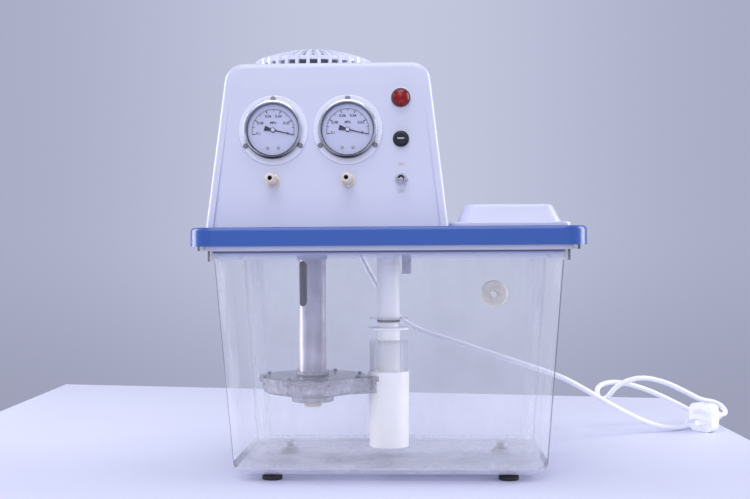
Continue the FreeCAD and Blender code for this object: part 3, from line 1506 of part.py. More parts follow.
def make_ejector():
    """The ejector line: white tube, seal, clear chamber with its inner tube, and the silencer."""
    outer = dim.tube_radius
    inner = outer - dim.tube_wall
    flange_top = LID_TOP + dim.tube_flange_thickness
    on_ejector_axis("upper_tube", [
        (inner, dim.tube_bottom), (outer, dim.tube_bottom), (outer, LID_TOP),
        (dim.tube_flange_radius, LID_TOP), (dim.tube_flange_radius, flange_top), (inner, flange_top)])
    disc_low = dim.tube_bottom + dim.tube_disc_rise
    on_ejector_axis("tube_disc", tube_corners(dim.tube_disc_radius, outer + dim.running_clearance, disc_low,
                                              disc_low + dim.tube_disc_thickness))
    spigot = inner - dim.fit_clearance
    on_ejector_axis("tube_seal_ring", [
        (spigot + dim.running_clearance, SEAL_BASE), (outer + dim.seal_proud, SEAL_BASE, dim.seal_round),
        (outer + dim.seal_proud, dim.tube_bottom, dim.seal_round),
        (spigot + dim.running_clearance, dim.tube_bottom)])
    bore = dim.inner_tube_bore
    body = dim.chamber_radius
    hollow = body - dim.chamber_wall
    way = dim.inner_tube_radius + dim.fit_clearance
    on_ejector_axis("ejector_chamber", [
        (way, CEILING), (hollow, CEILING), (hollow, dim.silencer_top), (body, dim.silencer_top),
        (body, CHAMBER_TOP, dim.edge_round), (way, CHAMBER_TOP)])
    stem = dim.inner_tube_stem_radius
    stem_low = dim.nozzle_level
    spigot_top = dim.tube_bottom + dim.neck_spigot_height
    on_ejector_axis("inner_tube", [
        (bore, stem_low), (stem, stem_low), (stem, dim.silencer_top - dim.silencer_rim),
        (dim.inner_tube_radius, dim.silencer_top - dim.silencer_rim), (dim.inner_tube_radius, FLANGE_BASE),
        (dim.chamber_flange_radius, FLANGE_BASE, dim.edge_round),
        (dim.chamber_flange_radius, NECK_BASE, dim.edge_round),
        (dim.neck_radius, NECK_BASE), (dim.neck_radius, SEAL_BASE), (spigot, SEAL_BASE),
        (spigot, spigot_top), (bore, spigot_top)])
    wall = dim.silencer_wall
    ceiling = dim.silencer_top - dim.silencer_rim - dim.silencer_ceiling
    shell = turned("silencer_shell", [
        (dim.silencer_bottom_radius - wall, dim.silencer_bottom),
        (dim.silencer_bottom_radius, dim.silencer_bottom, 1), (dim.silencer_top_radius, dim.silencer_top),
        (body - dim.chamber_wall, dim.silencer_top),
        (body - dim.chamber_wall, dim.silencer_top - dim.silencer_rim),
        (stem + dim.running_clearance, dim.silencer_top - dim.silencer_rim),
        (stem + dim.running_clearance, ceiling), (silencer_radius(ceiling) - wall, ceiling)])
    place(shell, dim.ejector_x, 0, 0)
    port = outlet_rod("silencer_port", dim.spigot_radius + dim.fit_clearance,
                      OUTLET_RUN - dim.silencer_top_radius * dim.port_reach_share, OUTLET_RUN,
                      COVER_BASE - dim.outlet_depth / 2 - dim.outlet_drop)
    finished(cut("silencer", shell, port), "silencer_cylinder")
    make_nozzles()


def make_nozzles():
    """The nozzle plate: two converging jets through one disc around the inner tube's stem."""
    low = dim.nozzle_level
    top = low + dim.nozzle_plate_thickness
    radius = silencer_radius(low) - dim.silencer_wall - dim.running_clearance
    solids = [cylinder("nozzle_disc", radius, dim.nozzle_plate_thickness, 0, 0, low)]
    holes = [cylinder("nozzle_stem_hole", dim.inner_tube_stem_radius + dim.running_clearance, top)]
    for index, y in enumerate((-dim.nozzle_circle, dim.nozzle_circle)):
        solids.append(cone(f"nozzle_jet_{index}", dim.nozzle_tip_radius, dim.nozzle_radius,
                           dim.nozzle_length + 1, 0, y, low - dim.nozzle_length))
        holes.append(cylinder(f"nozzle_bore_{index}", dim.nozzle_bore, top, 0, y))
    item = cut("nozzle_bored", fuse("nozzle_solid", *solids), *holes)
    return finished(place(item, dim.ejector_x, 0, 0), "nozzle_plate")


def make_return_tube():
    """A short translucent tube that hangs from the lid, tipped a little to the front."""
    tube = turned("return_tube_body", tube_corners(dim.return_radius, dim.return_bore,
                                                   -dim.return_length, 0))
    place(tube, dim.return_x, dim.return_y, LID_UNDER - dim.return_gap, ACROSS, -dim.return_tilt)
    return finished(tube, "return_tube")


def on_gauge(label, side, x, corners, arcs=None):
    return on_panel(turned(f"{label}_{side}_body", corners, arcs), x, dim.gauge_height)


# Levels out from the panel's face inside a gauge
GAUGE_LENS_LOW = dim.gauge_flange_thickness + dim.gauge_rim_height
GAUGE_LENS_HIGH = GAUGE_LENS_LOW + dim.gauge_lens_thickness
DIAL_TOP = dim.gauge_dial_level + dim.gauge_dial_thickness
POINTER_LOW = DIAL_TOP + dim.pointer_gap


def make_gauges():
    """Two panel gauges: flange, case, movement, dial, pointer, lens and bezel, each a piece."""
    sets = {name: [] for name in ("gauge_flanges", "gauge_cases", "gauge_bezels", "gauge_dials",
                                  "gauge_lenses", "gauge_movements")}
    screws = []
    for x, side in gauge_places():
        flange = on_gauge("gauge_flange", side, x, [
            (dim.gauge_case_radius + dim.fit_clearance, 0), (dim.gauge_flange_radius, 0),
            (dim.gauge_flange_radius, dim.gauge_flange_thickness, 1),
            (dim.gauge_case_radius + dim.fit_clearance, dim.gauge_flange_thickness)])
        holes = []
        for index, (screw_x, rise) in enumerate(gauge_screw_places(x)):
            hole = cylinder(f"flange_hole_{side}_{index}", dim.screw_shank_radius + dim.fit_clearance,
                            CUT_MARGIN)
            holes.append(on_panel(hole, screw_x, rise, -CUT_MARGIN / 2))
            screw = turned(f"gauge_screw_{side}_{index}", [
                (0, -dim.gauge_screw_length), (dim.screw_shank_radius, -dim.gauge_screw_length),
                (dim.screw_shank_radius, 0), (dim.screw_head_radius, 0),
                (dim.screw_head_radius, dim.screw_head_height, dim.screw_head_round),
                (0, dim.screw_head_height)])
            screws.append(on_panel(screw, screw_x, rise, dim.gauge_flange_thickness))
        bezel_way = on_gauge("bezel_way", side, x, rod_corners(
            dim.gauge_bezel_radius + dim.bezel_screw_gap, dim.gauge_flange_thickness,
            dim.gauge_flange_thickness * 3))
        count = len(GAUGE_SCREW_ANGLES)
        screws[-count:] = [cut(f"gauge_screw_cut_{side}_{index}", screw, bezel_way)
                           for index, screw in enumerate(screws[-count:])]
        sets["gauge_flanges"].append(cut(f"flange_{side}", flange, *holes))
        wall = dim.gauge_case_wall
        inner = dim.gauge_case_radius - wall
        back = -dim.gauge_case_depth
        sets["gauge_cases"].append(on_gauge("gauge_case", side, x, [
            (dim.socket_radius + dim.fit_clearance, back),
            (dim.gauge_case_radius, back, dim.gauge_case_round),
            (dim.gauge_case_radius, dim.gauge_flange_thickness),
            (dim.gauge_rim_radius, dim.gauge_flange_thickness),
            (dim.gauge_rim_radius, GAUGE_LENS_LOW), (inner, GAUGE_LENS_LOW), (inner, back + wall),
            (dim.socket_radius + dim.fit_clearance, back + wall)]))
        skirt = dim.gauge_rim_radius + dim.fit_clearance
        bezel_top = dim.gauge_flange_thickness + dim.gauge_bezel_height
        bezel_low = dim.gauge_flange_thickness + dim.seat_gap
        sets["gauge_bezels"].append(on_gauge("gauge_bezel", side, x, [
            (skirt, bezel_low), (dim.gauge_bezel_radius, bezel_low),
            (dim.gauge_bezel_radius, bezel_top, dim.gauge_bezel_round), (dim.gauge_lip_radius, bezel_top),
            (dim.gauge_lip_radius, GAUGE_LENS_HIGH), (skirt, GAUGE_LENS_HIGH)]))
        sets["gauge_lenses"].append(on_gauge("gauge_lens", side, x, rod_corners(
            dim.gauge_rim_radius, GAUGE_LENS_LOW, GAUGE_LENS_HIGH)))
        sets["gauge_dials"].append(on_gauge("gauge_dial", side, x, tube_corners(
            dim.gauge_dial_radius, dim.spindle_radius + dim.running_clearance,
            dim.gauge_dial_level, DIAL_TOP)))
        sets["gauge_movements"].append(movement(side, x))
        finished(pointer(side, x), f"gauge_pointer_{side}")
    for label, items in sets.items():
        group(label, items)
    group("gauge_screws", screws)


def movement(side, x):
    """The gauge's works: threaded socket, movement block, pillars and the bent pressure tube."""
    back = -dim.gauge_case_depth
    block_low = back + dim.gauge_case_wall
    block_high = block_low + dim.movement_depth
    middle = (block_low + block_high) / 2
    socket = turned(f"socket_{side}", rod_corners(dim.socket_radius, back - dim.socket_length,
                                                  block_low + 1))
    block = box(f"movement_block_{side}", dim.movement_width, dim.movement_width, dim.movement_depth,
                0, 0, block_low)
    pillars = []
    for index, way in enumerate((-1, 1)):
        offset = dim.movement_width / 2 - dim.pillar_inset
        pillars.append(cylinder(f"pillar_{side}_{index}", dim.pillar_radius,
                                dim.gauge_dial_level - block_high + 1,
                                offset * way, -offset, block_high - 1))
    bourdon = doc.addObject("Part::Torus", f"bourdon_{side}")
    bind(bourdon, "Radius1", dim.bourdon_radius)
    bind(bourdon, "Radius2", dim.bourdon_tube_radius)
    bourdon.Angle3 = BOURDON_ARC
    place(bourdon, 0, 0, middle, UP, BOURDON_START)
    foot = box(f"bourdon_foot_{side}", dim.bourdon_radius - dim.movement_width / 2 + dim.bourdon_foot_inset,
               dim.bourdon_foot_width, dim.bourdon_foot_height,
               (dim.bourdon_radius + dim.movement_width / 2) / 2, 0, middle - dim.bourdon_foot_height / 2)
    bush_bore = cylinder(f"spindle_bore_{side}", dim.spindle_radius + dim.running_clearance,
                         dim.gauge_case_depth + CUT_MARGIN, 0, 0, block_low + 1)
    pressure_bore = cylinder(f"pressure_bore_{side}", dim.tee_bore, dim.socket_length + 4, 0, 0,
                             back - dim.socket_length - 1)
    post_top = -dim.spindle_depth + 6
    post = cylinder(f"spindle_post_{side}", 3, post_top - block_high + 1, 0, 0, block_high - 1)
    solid = fuse(f"movement_solid_{side}", socket, block, bourdon, foot, post, *pillars)
    return on_panel(cut(f"movement_{side}", solid, bush_bore, pressure_bore), x, dim.gauge_height)


def pointer(side, x):
    """A tapered pointer with a wedge tail, its hub and the spindle behind it."""
    half = dim.pointer_width / 2
    tail_half = dim.pointer_tail_width / 2
    tip_half = dim.pointer_tip_width / 2
    hub = dim.pointer_hub_radius
    blade_shape = prism(f"pointer_blade_{side}", [
        (-dim.pointer_tail, -tail_half), (0, -half), (dim.pointer_length, -tip_half),
        (dim.pointer_length, tip_half), (0, half), (-dim.pointer_tail, tail_half)],
        "up", POINTER_LOW, dim.pointer_thickness)
    turned_hub = turned(f"pointer_hub_{side}", [
        (0, -dim.spindle_depth), (dim.spindle_radius, -dim.spindle_depth),
        (dim.spindle_radius, POINTER_LOW), (hub, POINTER_LOW),
        (hub, POINTER_LOW + dim.pointer_hub_height, dim.pointer_hub_round),
        (0, POINTER_LOW + dim.pointer_hub_height)])
    item = place(fuse(f"pointer_{side}", blade_shape, turned_hub), 0, 0, 0, UP, dim.pointer_rest_angle)
    holder = doc.addObject("Part::Compound", f"pointer_holder_{side}")
    holder.Links = [item]
    return on_panel(holder, x, dim.gauge_height)


def make_taps():
    """Two hose taps with barbs, their nuts behind the panel and the tees that feed the gauges."""
    nuts = []
    taps = []
    tees = []
    for x, side in gauge_places():
        length = dim.tap_length
        pitch = dim.tap_barb_pitch
        crest = dim.tap_tip_radius
        valley = dim.tap_neck_radius
        barb_base = dim.tap_shoulder_length + dim.tap_neck_length
        corners = [
            (dim.tap_bore_radius, -dim.tap_thread_length), (dim.tap_thread_radius, -dim.tap_thread_length),
            (dim.tap_thread_radius, 0), (dim.tap_flange_radius, 0),
            (dim.tap_flange_radius, dim.tap_flange_thickness),
            (dim.tap_shoulder_radius, dim.tap_flange_thickness),
            (dim.tap_shoulder_radius - dim.tap_shoulder_taper, dim.tap_shoulder_length), (valley, barb_base)]
        for index in range(TAP_BARBS):
            base = barb_base + pitch * index
            corners += [(crest, base + dim.tap_barb_rise), (valley, base + pitch - dim.tap_barb_foot)]
        corners += [(crest, length - dim.tap_tip_length), (crest, length, dim.tap_tip_round),
                    (dim.tap_bore_radius, length)]
        taps.append(on_panel(turned(f"tap_{side}", corners), x, dim.tap_height))
        nut = turned(f"tap_nut_{side}", tube_corners(
            dim.tap_nut_radius, dim.tap_thread_radius + dim.running_clearance,
            -dim.hood_wall - dim.tap_nut_thickness, -dim.hood_wall))
        nuts.append(on_panel(nut, x, dim.tap_height))
        tees.append(tee(side, x))
    group("hose_taps", taps)
    group("hose_tap_nuts", nuts)
    group("vacuum_tees", tees)


def tee(side, x):
    """A brass tee behind the panel: it joins a tap, its gauge's socket and the hose below."""
    rise = dim.gauge_height - dim.tap_height
    radius = dim.tee_radius
    depth = dim.tee_depth
    stem_start = dim.gauge_case_depth + dim.socket_length
    spine = cylinder(f"tee_spine_{side}", radius, rise + dim.tee_leg + radius, 0, -dim.tee_leg, -depth,
                     ACROSS, -90)
    tap_leg = cylinder(f"tee_tap_leg_{side}", radius - 1, depth - dim.tap_thread_length - dim.fit_clearance,
                       0, 0, -depth)
    gauge_leg = cylinder(f"tee_gauge_leg_{side}", radius - 1, depth - stem_start - dim.fit_clearance,
                         0, rise, -depth)
    spine_bore = cylinder(f"tee_spine_bore_{side}", dim.tee_bore, rise + dim.tee_leg * 2, 0,
                          -dim.tee_leg * 2, -depth, ACROSS, -90)
    tap_bore = cylinder(f"tee_tap_bore_{side}", dim.tee_branch_bore, depth, 0, 0, -depth)
    gauge_bore = cylinder(f"tee_gauge_bore_{side}", dim.tee_branch_bore, depth, 0, rise, -depth)
    solid = fuse(f"tee_solid_{side}", spine, tap_leg, gauge_leg)
    return on_panel(cut(f"tee_{side}", solid, spine_bore, tap_bore, gauge_bore), x, dim.tap_height)


def make_controls():
    """The lamp, the fuse holder and the toggle switch, one above the other."""
    x = dim.control_x
    well = dim.lamp_body_radius - dim.lamp_wall
    bezel = on_panel(turned("lamp_socket", [
        (0, -dim.lamp_body_length), (dim.lamp_body_radius, -dim.lamp_body_length),
        (dim.lamp_body_radius, 0), (dim.lamp_bezel_radius, 0),
        (dim.lamp_bezel_radius, dim.lamp_bezel_height, dim.edge_round),
        (well, dim.lamp_bezel_height), (well, -dim.lamp_well_depth), (0, -dim.lamp_well_depth)]),
        x, dim.lamp_height)
    finished(bezel, "lamp_body")
    rise = dim.lamp_dome_height - dim.lamp_dome_foot
    ball = (dim.lamp_radius * dim.lamp_radius + rise * rise) / 2 / rise
    base = dim.lamp_bezel_height
    lens = on_panel(turned("lamp_dome", [
        (0, base), (dim.lamp_radius, base), (dim.lamp_radius, base + dim.lamp_dome_foot),
        (0, base + dim.lamp_dome_height)],
        {2: ball}), x, dim.lamp_height)
    finished(lens, "lamp_lens")
    ring = dim.fuse_ring_height
    bore = dim.fuse_bore_radius + dim.fuse_play
    holder = on_panel(turned("fuse_tube", [
        (0, -dim.fuse_body_length), (dim.fuse_body_radius, -dim.fuse_body_length), (dim.fuse_body_radius, 0),
        (dim.fuse_ring_radius, 0), (dim.fuse_ring_radius, ring, dim.edge_round), (bore, ring),
        (bore, -dim.fuse_body_length + dim.fuse_floor), (0, -dim.fuse_body_length + dim.fuse_floor)]),
        x, dim.fuse_height)
    finished(holder, "fuse_holder")
    cap_low = ring + dim.seat_gap
    cap_top = cap_low + dim.fuse_cap_height
    cap = turned("fuse_cap_turned", [
        (0, -dim.fuse_cap_stem), (dim.fuse_bore_radius, -dim.fuse_cap_stem), (dim.fuse_bore_radius, cap_low),
        (dim.fuse_cap_radius, cap_low), (dim.fuse_cap_radius, cap_top, 1), (0, cap_top)])
    slot = box("fuse_cap_slot", dim.fuse_slot_length, dim.fuse_slot_width, dim.fuse_cap_height, 0, 0,
               cap_top - dim.fuse_slot_depth)
    finished(on_panel(cut("fuse_cap_cut", cap, slot), x, dim.fuse_height), "fuse_cap")
    link_top = -dim.fuse_cap_stem - dim.seat_gap
    link = on_panel(turned("fuse_glass", rod_corners(
        dim.fuse_link_radius, link_top - dim.fuse_link_length, link_top)), x, dim.fuse_height)
    finished(link, "fuse_link")
    make_switch(x)


def make_switch(x):
    """A toggle switch: body and threaded bush behind the panel, nut in front, lever at rest down."""
    bush = turned("switch_bush", tube_corners(dim.switch_bush_radius, dim.switch_bush_bore,
                                              -dim.hood_wall - 2, dim.switch_bush_length))
    case_top = -dim.hood_wall
    case = box("switch_case", dim.switch_body_width, dim.switch_body_height, dim.switch_body_depth,
               0, 0, case_top - dim.switch_body_depth)
    well = cylinder("switch_well", dim.switch_bush_bore,
                    CUT_MARGIN + dim.hood_wall + dim.switch_bush_length, 0, 0,
                    case_top - dim.switch_well_depth)
    body = cut("switch", fuse("switch_solid", bush, case), well)
    finished(on_panel(body, x, dim.switch_height), "switch_body")
    nut = doc.addObject("Part::Prism", "switch_nut_hex")
    nut.Polygon = 6
    bind(nut, "Circumradius", dim.switch_nut_radius)
    bind(nut, "Height", dim.switch_nut_thickness)
    hole = cylinder("switch_nut_hole", dim.switch_bush_radius + dim.running_clearance,
                    dim.switch_nut_thickness * 3, 0, 0, -dim.switch_nut_thickness)
    finished(on_panel(cut("switch_nut_cut", nut, hole), x, dim.switch_height), "switch_nut")
    ball = dim.lever_ball_girth
    ball_half = dim.lever_ball_band / 2
    lever = turned("lever_turned", [
        (0, -dim.lever_ball_radius), (ball, -ball_half), (ball, ball_half),
        (dim.lever_root_radius, dim.lever_ball_radius),
        (dim.lever_tip_radius, dim.lever_length - dim.lever_tip_length),
        (dim.lever_tip_radius - dim.lever_tip_bevel, dim.lever_length), (0, dim.lever_length)])
    place(lever, 0, 0, 0, ACROSS, dim.lever_rest_angle)
    pin = cylinder("lever_pin", dim.lever_pin_radius, dim.lever_pin_length,
                   -dim.lever_pin_length / 2, 0, 0, DEEP, 90)
    holder = doc.addObject("Part::Compound", "lever_tilted")
    holder.Links = [fuse("lever_with_pin", lever, pin)]
    finished(on_panel(holder, x, dim.switch_height, dim.lever_pivot), "switch_lever")


def make_inside():
    """The start capacitor and the terminal block, standing on the lid inside the hood."""
    can = turned("capacitor_can", [
        (0, 0), (dim.capacitor_radius, 0, dim.capacitor_foot_round),
        (dim.capacitor_radius, dim.capacitor_length, dim.capacitor_top_round),
        (0, dim.capacitor_length)])
    place(can, dim.capacitor_x, dim.capacitor_y, LID_TOP)
    finished(can, "start_capacitor")
    block = box("terminal_solid", dim.terminal_width, dim.terminal_depth, dim.terminal_height,
                dim.terminal_x, dim.terminal_y, LID_TOP)
    wells = []
    for index in range(TERMINALS):
        x = dim.terminal_x + dim.terminal_pitch * (index - (TERMINALS - 1) / 2)
        wells.append(cylinder(f"terminal_well_{index}", dim.terminal_well_radius, dim.terminal_height, x,
                              dim.terminal_y, LID_TOP + dim.terminal_height / 3))
    return finished(cut("terminal", block, *wells), "terminal_block")


def bent_wire(points):
    """Straight runs joined by tangent arcs, each as large as its two runs allow."""
    edges = []
    radii = []
    cursor = points[0]
    for before, here, after in zip(points, points[1:], points[2:]):
        into = (here - before).normalize()
        out = (after - here).normalize()
        half_turn = into.getAngle(out) / 2
        shorter = min((here - before).Length, (after - here).Length)
        reach = shorter * BEND_SHARE
        radii.append(reach / math.tan(half_turn))
        start = here - into * reach
        end = here + out * reach
        inside = (out - into).normalize()
        centre_distance = radii[-1] / math.cos(half_turn)
        middle = here + inside * (centre_distance - radii[-1])
        edges.append(Part.LineSegment(cursor, start).toShape())
        edges.append(Part.Arc(start, middle, end).toShape())
        cursor = end
    edges.append(Part.LineSegment(cursor, points[-1]).toShape())
    return Part.Wire(edges), radii


def swept(wire, radius):
    """A round solid along a wire, checked against its section times its length."""
    start = wire.Edges[0].valueAt(wire.Edges[0].FirstParameter)
    way = wire.Edges[0].tangentAt(wire.Edges[0].FirstParameter)
    profile = Part.Wire(Part.Circle(start, way, radius).toShape())
    solid = wire.makePipeShell([profile], True, False)
    expected = math.pi * radius * radius * wire.Length
    if abs(solid.Volume - expected) > expected * SWEEP_TOLERANCE:
        raise RuntimeError(f"a swept tube has volume {solid.Volume:.0f}, not {expected:.0f}")
    return solid


def shape_object(name, shape):
    item = doc.addObject("Part::Feature", name)
    item.Shape = shape
    return item


def panel_point(x, rise, out):
    """A point given on the front panel, in the part's own frame."""
    y = PANEL_Y + rise * PANEL_SIN - out * PANEL_COS
    z = LID_TOP + rise * PANEL_COS + out * PANEL_SIN
    return Vector(float(x), float(y), float(z))


def make_hoses():
    """The two suction hoses, from the tees down through the ejector's upper tube."""
    hoses = []
    bottom = float(dim.tube_bottom + dim.neck_spigot_height + 1)
    spread = float(dim.hose_pair_spread) / 2
    tube_x = float(dim.ejector_x)
    base = float(LID_TOP)
    asides = {"left": spread, "right": -spread}
    for x, side in gauge_places():
        origins = {"tee": float(x), "tube": tube_x}
        end_x = tube_x + asides[side]
        start = panel_point(x, dim.tap_height - dim.tee_leg, -dim.tee_depth)
        below = panel_point(x, dim.tap_height - dim.tee_leg - HOSE_DROP, -dim.tee_depth)
        lane = [Vector(origins[origin] + across, back, base + rise)
                for origin, across, back, rise in HOSE_LANES[side]]
        hump = [Vector(end_x, back, base + rise) for back, rise in HOSE_HUMP]
        wire, radii = bent_wire([start, below] + lane + hump + [Vector(end_x, 0, bottom)])
        hoses.append(shape_object(f"hose_{side}", swept(wire, float(dim.hose_radius))))
        print("hose", side, "radii", [round(value, 1) for value in radii])
    return group("suction_hoses", hoses)


def make_gland():
    """The strain relief where the mains lead leaves the hood's back."""
    flange = dim.gland_flange_thickness
    stem = dim.cord_radius + dim.gland_stem_wall - dim.fit_clearance
    stem_end = -dim.hood_wall - dim.gland_stem
    gland = turned("gland_body", [
        (0, stem_end), (stem, stem_end), (stem, 0), (dim.gland_flange_radius, 0),
        (dim.gland_flange_radius, flange, 1), (dim.gland_root_radius, flange),
        (dim.gland_tip_radius, dim.gland_length), (0, dim.gland_length)])
    place(gland, dim.gland_x, dim.hood_back, LID_TOP + dim.gland_height, ACROSS, -90)
    return finished(gland, "cord_gland")


def make_cord():
    """The mains lead along its chosen route, from the gland to the plug."""
    wire, radii = bent_wire([Vector(*point) for point in CORD_ROUTE])
    print("cord length", round(wire.Length), "radii", [round(value) for value in radii])
    return finished(shape_object("cord_tube", swept(wire, float(dim.cord_radius))), "power_cord")


def rounded_wire(width, height, corner, level):
    """A rectangle with rounded corners as one wire."""
    x = width / 2 - corner
    y = height / 2 - corner
    edges = []
    for index in range(4):
        across, along = ((x, y), (-x, y), (-x, -y), (x, -y))[index]
        next_across, next_along = ((-x, y), (-x, -y), (x, -y), (x, y))[index]
        angle = math.radians(90 * index)
        places = []
        for turn in (0, math.pi / 4, math.pi / 2):
            places.append(Vector(across + corner * math.cos(angle + turn),
                                 along + corner * math.sin(angle + turn), level))
        edges.append(Part.Arc(*places).toShape())
        begin = Vector(next_across + corner * math.cos(angle + math.pi / 2),
                       next_along + corner * math.sin(angle + math.pi / 2), level)
        edges.append(Part.LineSegment(places[2], begin).toShape())
    return Part.Wire(edges)


def make_plug():
    """The plug at the lead's far end: a tapered grip, a face block and three flat pins."""
    end = Vector(*CORD_ROUTE[-1])
    way = (end - Vector(*CORD_ROUTE[-2])).normalize()
    length = float(dim.plug_length)
    face_start = length - float(dim.plug_face_depth)
    waist = face_start * PLUG_WAIST_SHARE
    grip_width = float(dim.plug_grip_width)
    grip_height = float(dim.plug_grip_height)
    width = float(dim.plug_width)
    height = float(dim.plug_height)
    corner = float(dim.plug_corner)
    tail = Part.makeCone(float(dim.plug_tail_radius), grip_height / 2, waist)
    grip = Part.makeLoft([
        rounded_wire(grip_width, grip_height, corner * PLUG_GRIP_CORNER_SHARE, waist),
        rounded_wire(width * PLUG_SHOULDER_SHARE, height * PLUG_SHOULDER_SHARE, corner, face_start)],
        True, True)
    face = Part.Face(rounded_wire(width, height, corner, face_start))
    block = face.extrude(Vector(0, 0, length - face_start))
    solids = [tail.fuse([grip, block]).removeSplitter()]
    pin_width = float(dim.pin_width)
    pin_thickness = float(dim.pin_thickness)
    spread = float(dim.pin_spread)
    splay = float(dim.pin_splay)
    drop = float(dim.pin_drop)
    for angle, x, y in ((0, 0, spread), (splay, spread, -drop), (-splay, -spread, -drop)):
        pin = Part.makeBox(pin_thickness, pin_width, float(dim.pin_length),
                           Vector(-pin_thickness / 2, -pin_width / 2, 0))
        pin.Placement = Placement(Vector(x, y, length), Rotation(UP, angle))
        solids.append(pin)
    plug = Part.makeCompound(solids)
    level = UP.cross(way).normalize()
    plug.Placement = Placement(end, Rotation(level, way.cross(level), way, "ZXY"))
    return finished(shape_object("plug_solids", plug), "power_plug")


make_tank()
make_feet()
make_overflow()
make_lid()
make_hatch()
make_hood()
make_hood_screws()
make_cap()
make_motor()
make_fan()
make_column()
make_volute()
make_volute_screws()
make_impeller()
make_ejector()
make_return_tube()
make_gauges()
make_taps()
make_controls()
make_inside()
make_hoses()
make_gland()
make_cord()
make_plug()


def check_document():
    """Stop where any object has failed or any piece has no valid shape."""
    for item in doc.Objects:
        if "Invalid" in item.State or "Error" in item.State:
            raise RuntimeError(f"{item.Label} failed: {item.State}")
    for label, item in pieces.items():
        shape = item.Shape
        if shape.isNull() or not shape.isValid() or not shape.Solids:
            raise RuntimeError(f"{label} has no valid shape")
    if len(pieces) > MOST_NODES:
        raise RuntimeError(f"{len(pieces)} pieces are too many")


doc.recompute()
check_document()
os.makedirs(PARTS_FOLDER, exist_ok=True)
for label, item in pieces.items():
    item.Shape.exportStep(os.path.join(PARTS_FOLDER, f"{label}.step"))
    print(label, "solids", len(item.Shape.Solids), "volume", round(item.Shape.Volume))
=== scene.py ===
# %% [markdown]
# A bench vacuum pump that runs on circulating water: a clear tank, a blue lid, a white hood with two
# gauges, and a pump that hangs in the tank.
# The hard pieces come from the engineering model, in metres, each at its own place.
# This lesson gives them their finishes, adds the printed marks and the mains lead, and sets the light.

import json
import math

import bmesh
import bpy
from mathutils import Matrix, Vector


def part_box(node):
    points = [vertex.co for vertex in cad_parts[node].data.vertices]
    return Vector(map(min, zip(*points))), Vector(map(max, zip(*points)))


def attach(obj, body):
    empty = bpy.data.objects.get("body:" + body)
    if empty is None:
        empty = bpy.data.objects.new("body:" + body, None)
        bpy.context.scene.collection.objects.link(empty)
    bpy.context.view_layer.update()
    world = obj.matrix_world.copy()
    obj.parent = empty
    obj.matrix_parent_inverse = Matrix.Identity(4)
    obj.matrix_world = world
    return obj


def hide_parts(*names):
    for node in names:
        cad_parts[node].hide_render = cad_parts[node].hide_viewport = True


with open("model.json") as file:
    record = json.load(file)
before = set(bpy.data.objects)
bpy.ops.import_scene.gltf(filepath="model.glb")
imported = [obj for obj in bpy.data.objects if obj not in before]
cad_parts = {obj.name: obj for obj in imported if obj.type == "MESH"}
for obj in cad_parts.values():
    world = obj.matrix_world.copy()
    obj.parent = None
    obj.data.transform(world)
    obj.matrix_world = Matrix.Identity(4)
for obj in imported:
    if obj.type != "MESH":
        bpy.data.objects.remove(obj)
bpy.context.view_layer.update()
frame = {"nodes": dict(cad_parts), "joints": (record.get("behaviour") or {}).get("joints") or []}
joints = {joint["name"]: joint for joint in frame["joints"]}

# %% [markdown]
# The picture is taken level with the lid, a little to the right of the pump, with a long lens.
# The camera is placed by its position, its turn to the left and a small roll, so that every edge
# of the lid falls where the picture has it. No shift is needed.

# %% Camera
CAMERA_PLACE = Vector((0.046, -1.377, 0.238))
CAMERA_TURN = math.radians(2.66)
CAMERA_ROLL = 0.006
CAMERA_LENS = 60.05
CAMERA_SENSOR = 36

ahead = Vector((-math.sin(CAMERA_TURN), math.cos(CAMERA_TURN), 0))
level_right = Vector((math.cos(CAMERA_TURN), math.sin(CAMERA_TURN), 0))
level_up = Vector((0, 0, 1))
right = level_right * math.cos(CAMERA_ROLL) - level_up * math.sin(CAMERA_ROLL)
upward = level_up * math.cos(CAMERA_ROLL) + level_right * math.sin(CAMERA_ROLL)
camera = bpy.data.objects.new("camera", bpy.data.cameras.new("camera"))
camera.data.sensor_width = CAMERA_SENSOR
camera.data.lens = CAMERA_LENS
camera.matrix_world = Matrix((
    (right.x, upward.x, -ahead.x, CAMERA_PLACE.x),
    (right.y, upward.y, -ahead.y, CAMERA_PLACE.y),
    (right.z, upward.z, -ahead.z, CAMERA_PLACE.z),
    (0, 0, 0, 1)))
bpy.context.scene.collection.objects.link(camera)
bpy.context.scene.camera = camera
bpy.context.scene.view_settings.view_transform = "Standard"
print("camera", CAMERA_PLACE)

# %% [markdown]
# Every finish is a few nodes on one Principled shader. The helpers below make the shader, read the
# object's own coordinates, and drive colour, roughness and bump from noise, because real plastic and
# metal are never quite even.

# %% Finish helpers


def shader(name, color, roughness, metallic=0.0, **sockets):
    """A material with one Principled shader, its plain values set on its own sockets."""
    material = bpy.data.materials.new(name)
    material.use_nodes = True
    principled = material.node_tree.nodes["Principled BSDF"]
    principled.inputs["Base Color"].default_value = (*color, 1)
    principled.inputs["Roughness"].default_value = roughness
    principled.inputs["Metallic"].default_value = metallic
    for socket, value in sockets.items():
        principled.inputs[socket.replace("_", " ")].default_value = value
    return material, principled


def node(material, kind, **settings):
    made = material.node_tree.nodes.new(kind)
    for name, value in settings.items():
        if name in made.inputs:
            made.inputs[name].default_value = value
        else:
            setattr(made, name, value)
    return made


def link(material, source, target):
    material.node_tree.links.new(source, target)


def place(material, stretch=(1, 1, 1)):
    """The piece's own coordinates, stretched where a grain runs one way."""
    coordinates = node(material, "ShaderNodeTexCoord")
    mapping = node(material, "ShaderNodeMapping", Scale=stretch)
    link(material, coordinates.outputs["Object"], mapping.inputs["Vector"])
    return mapping.outputs["Vector"]


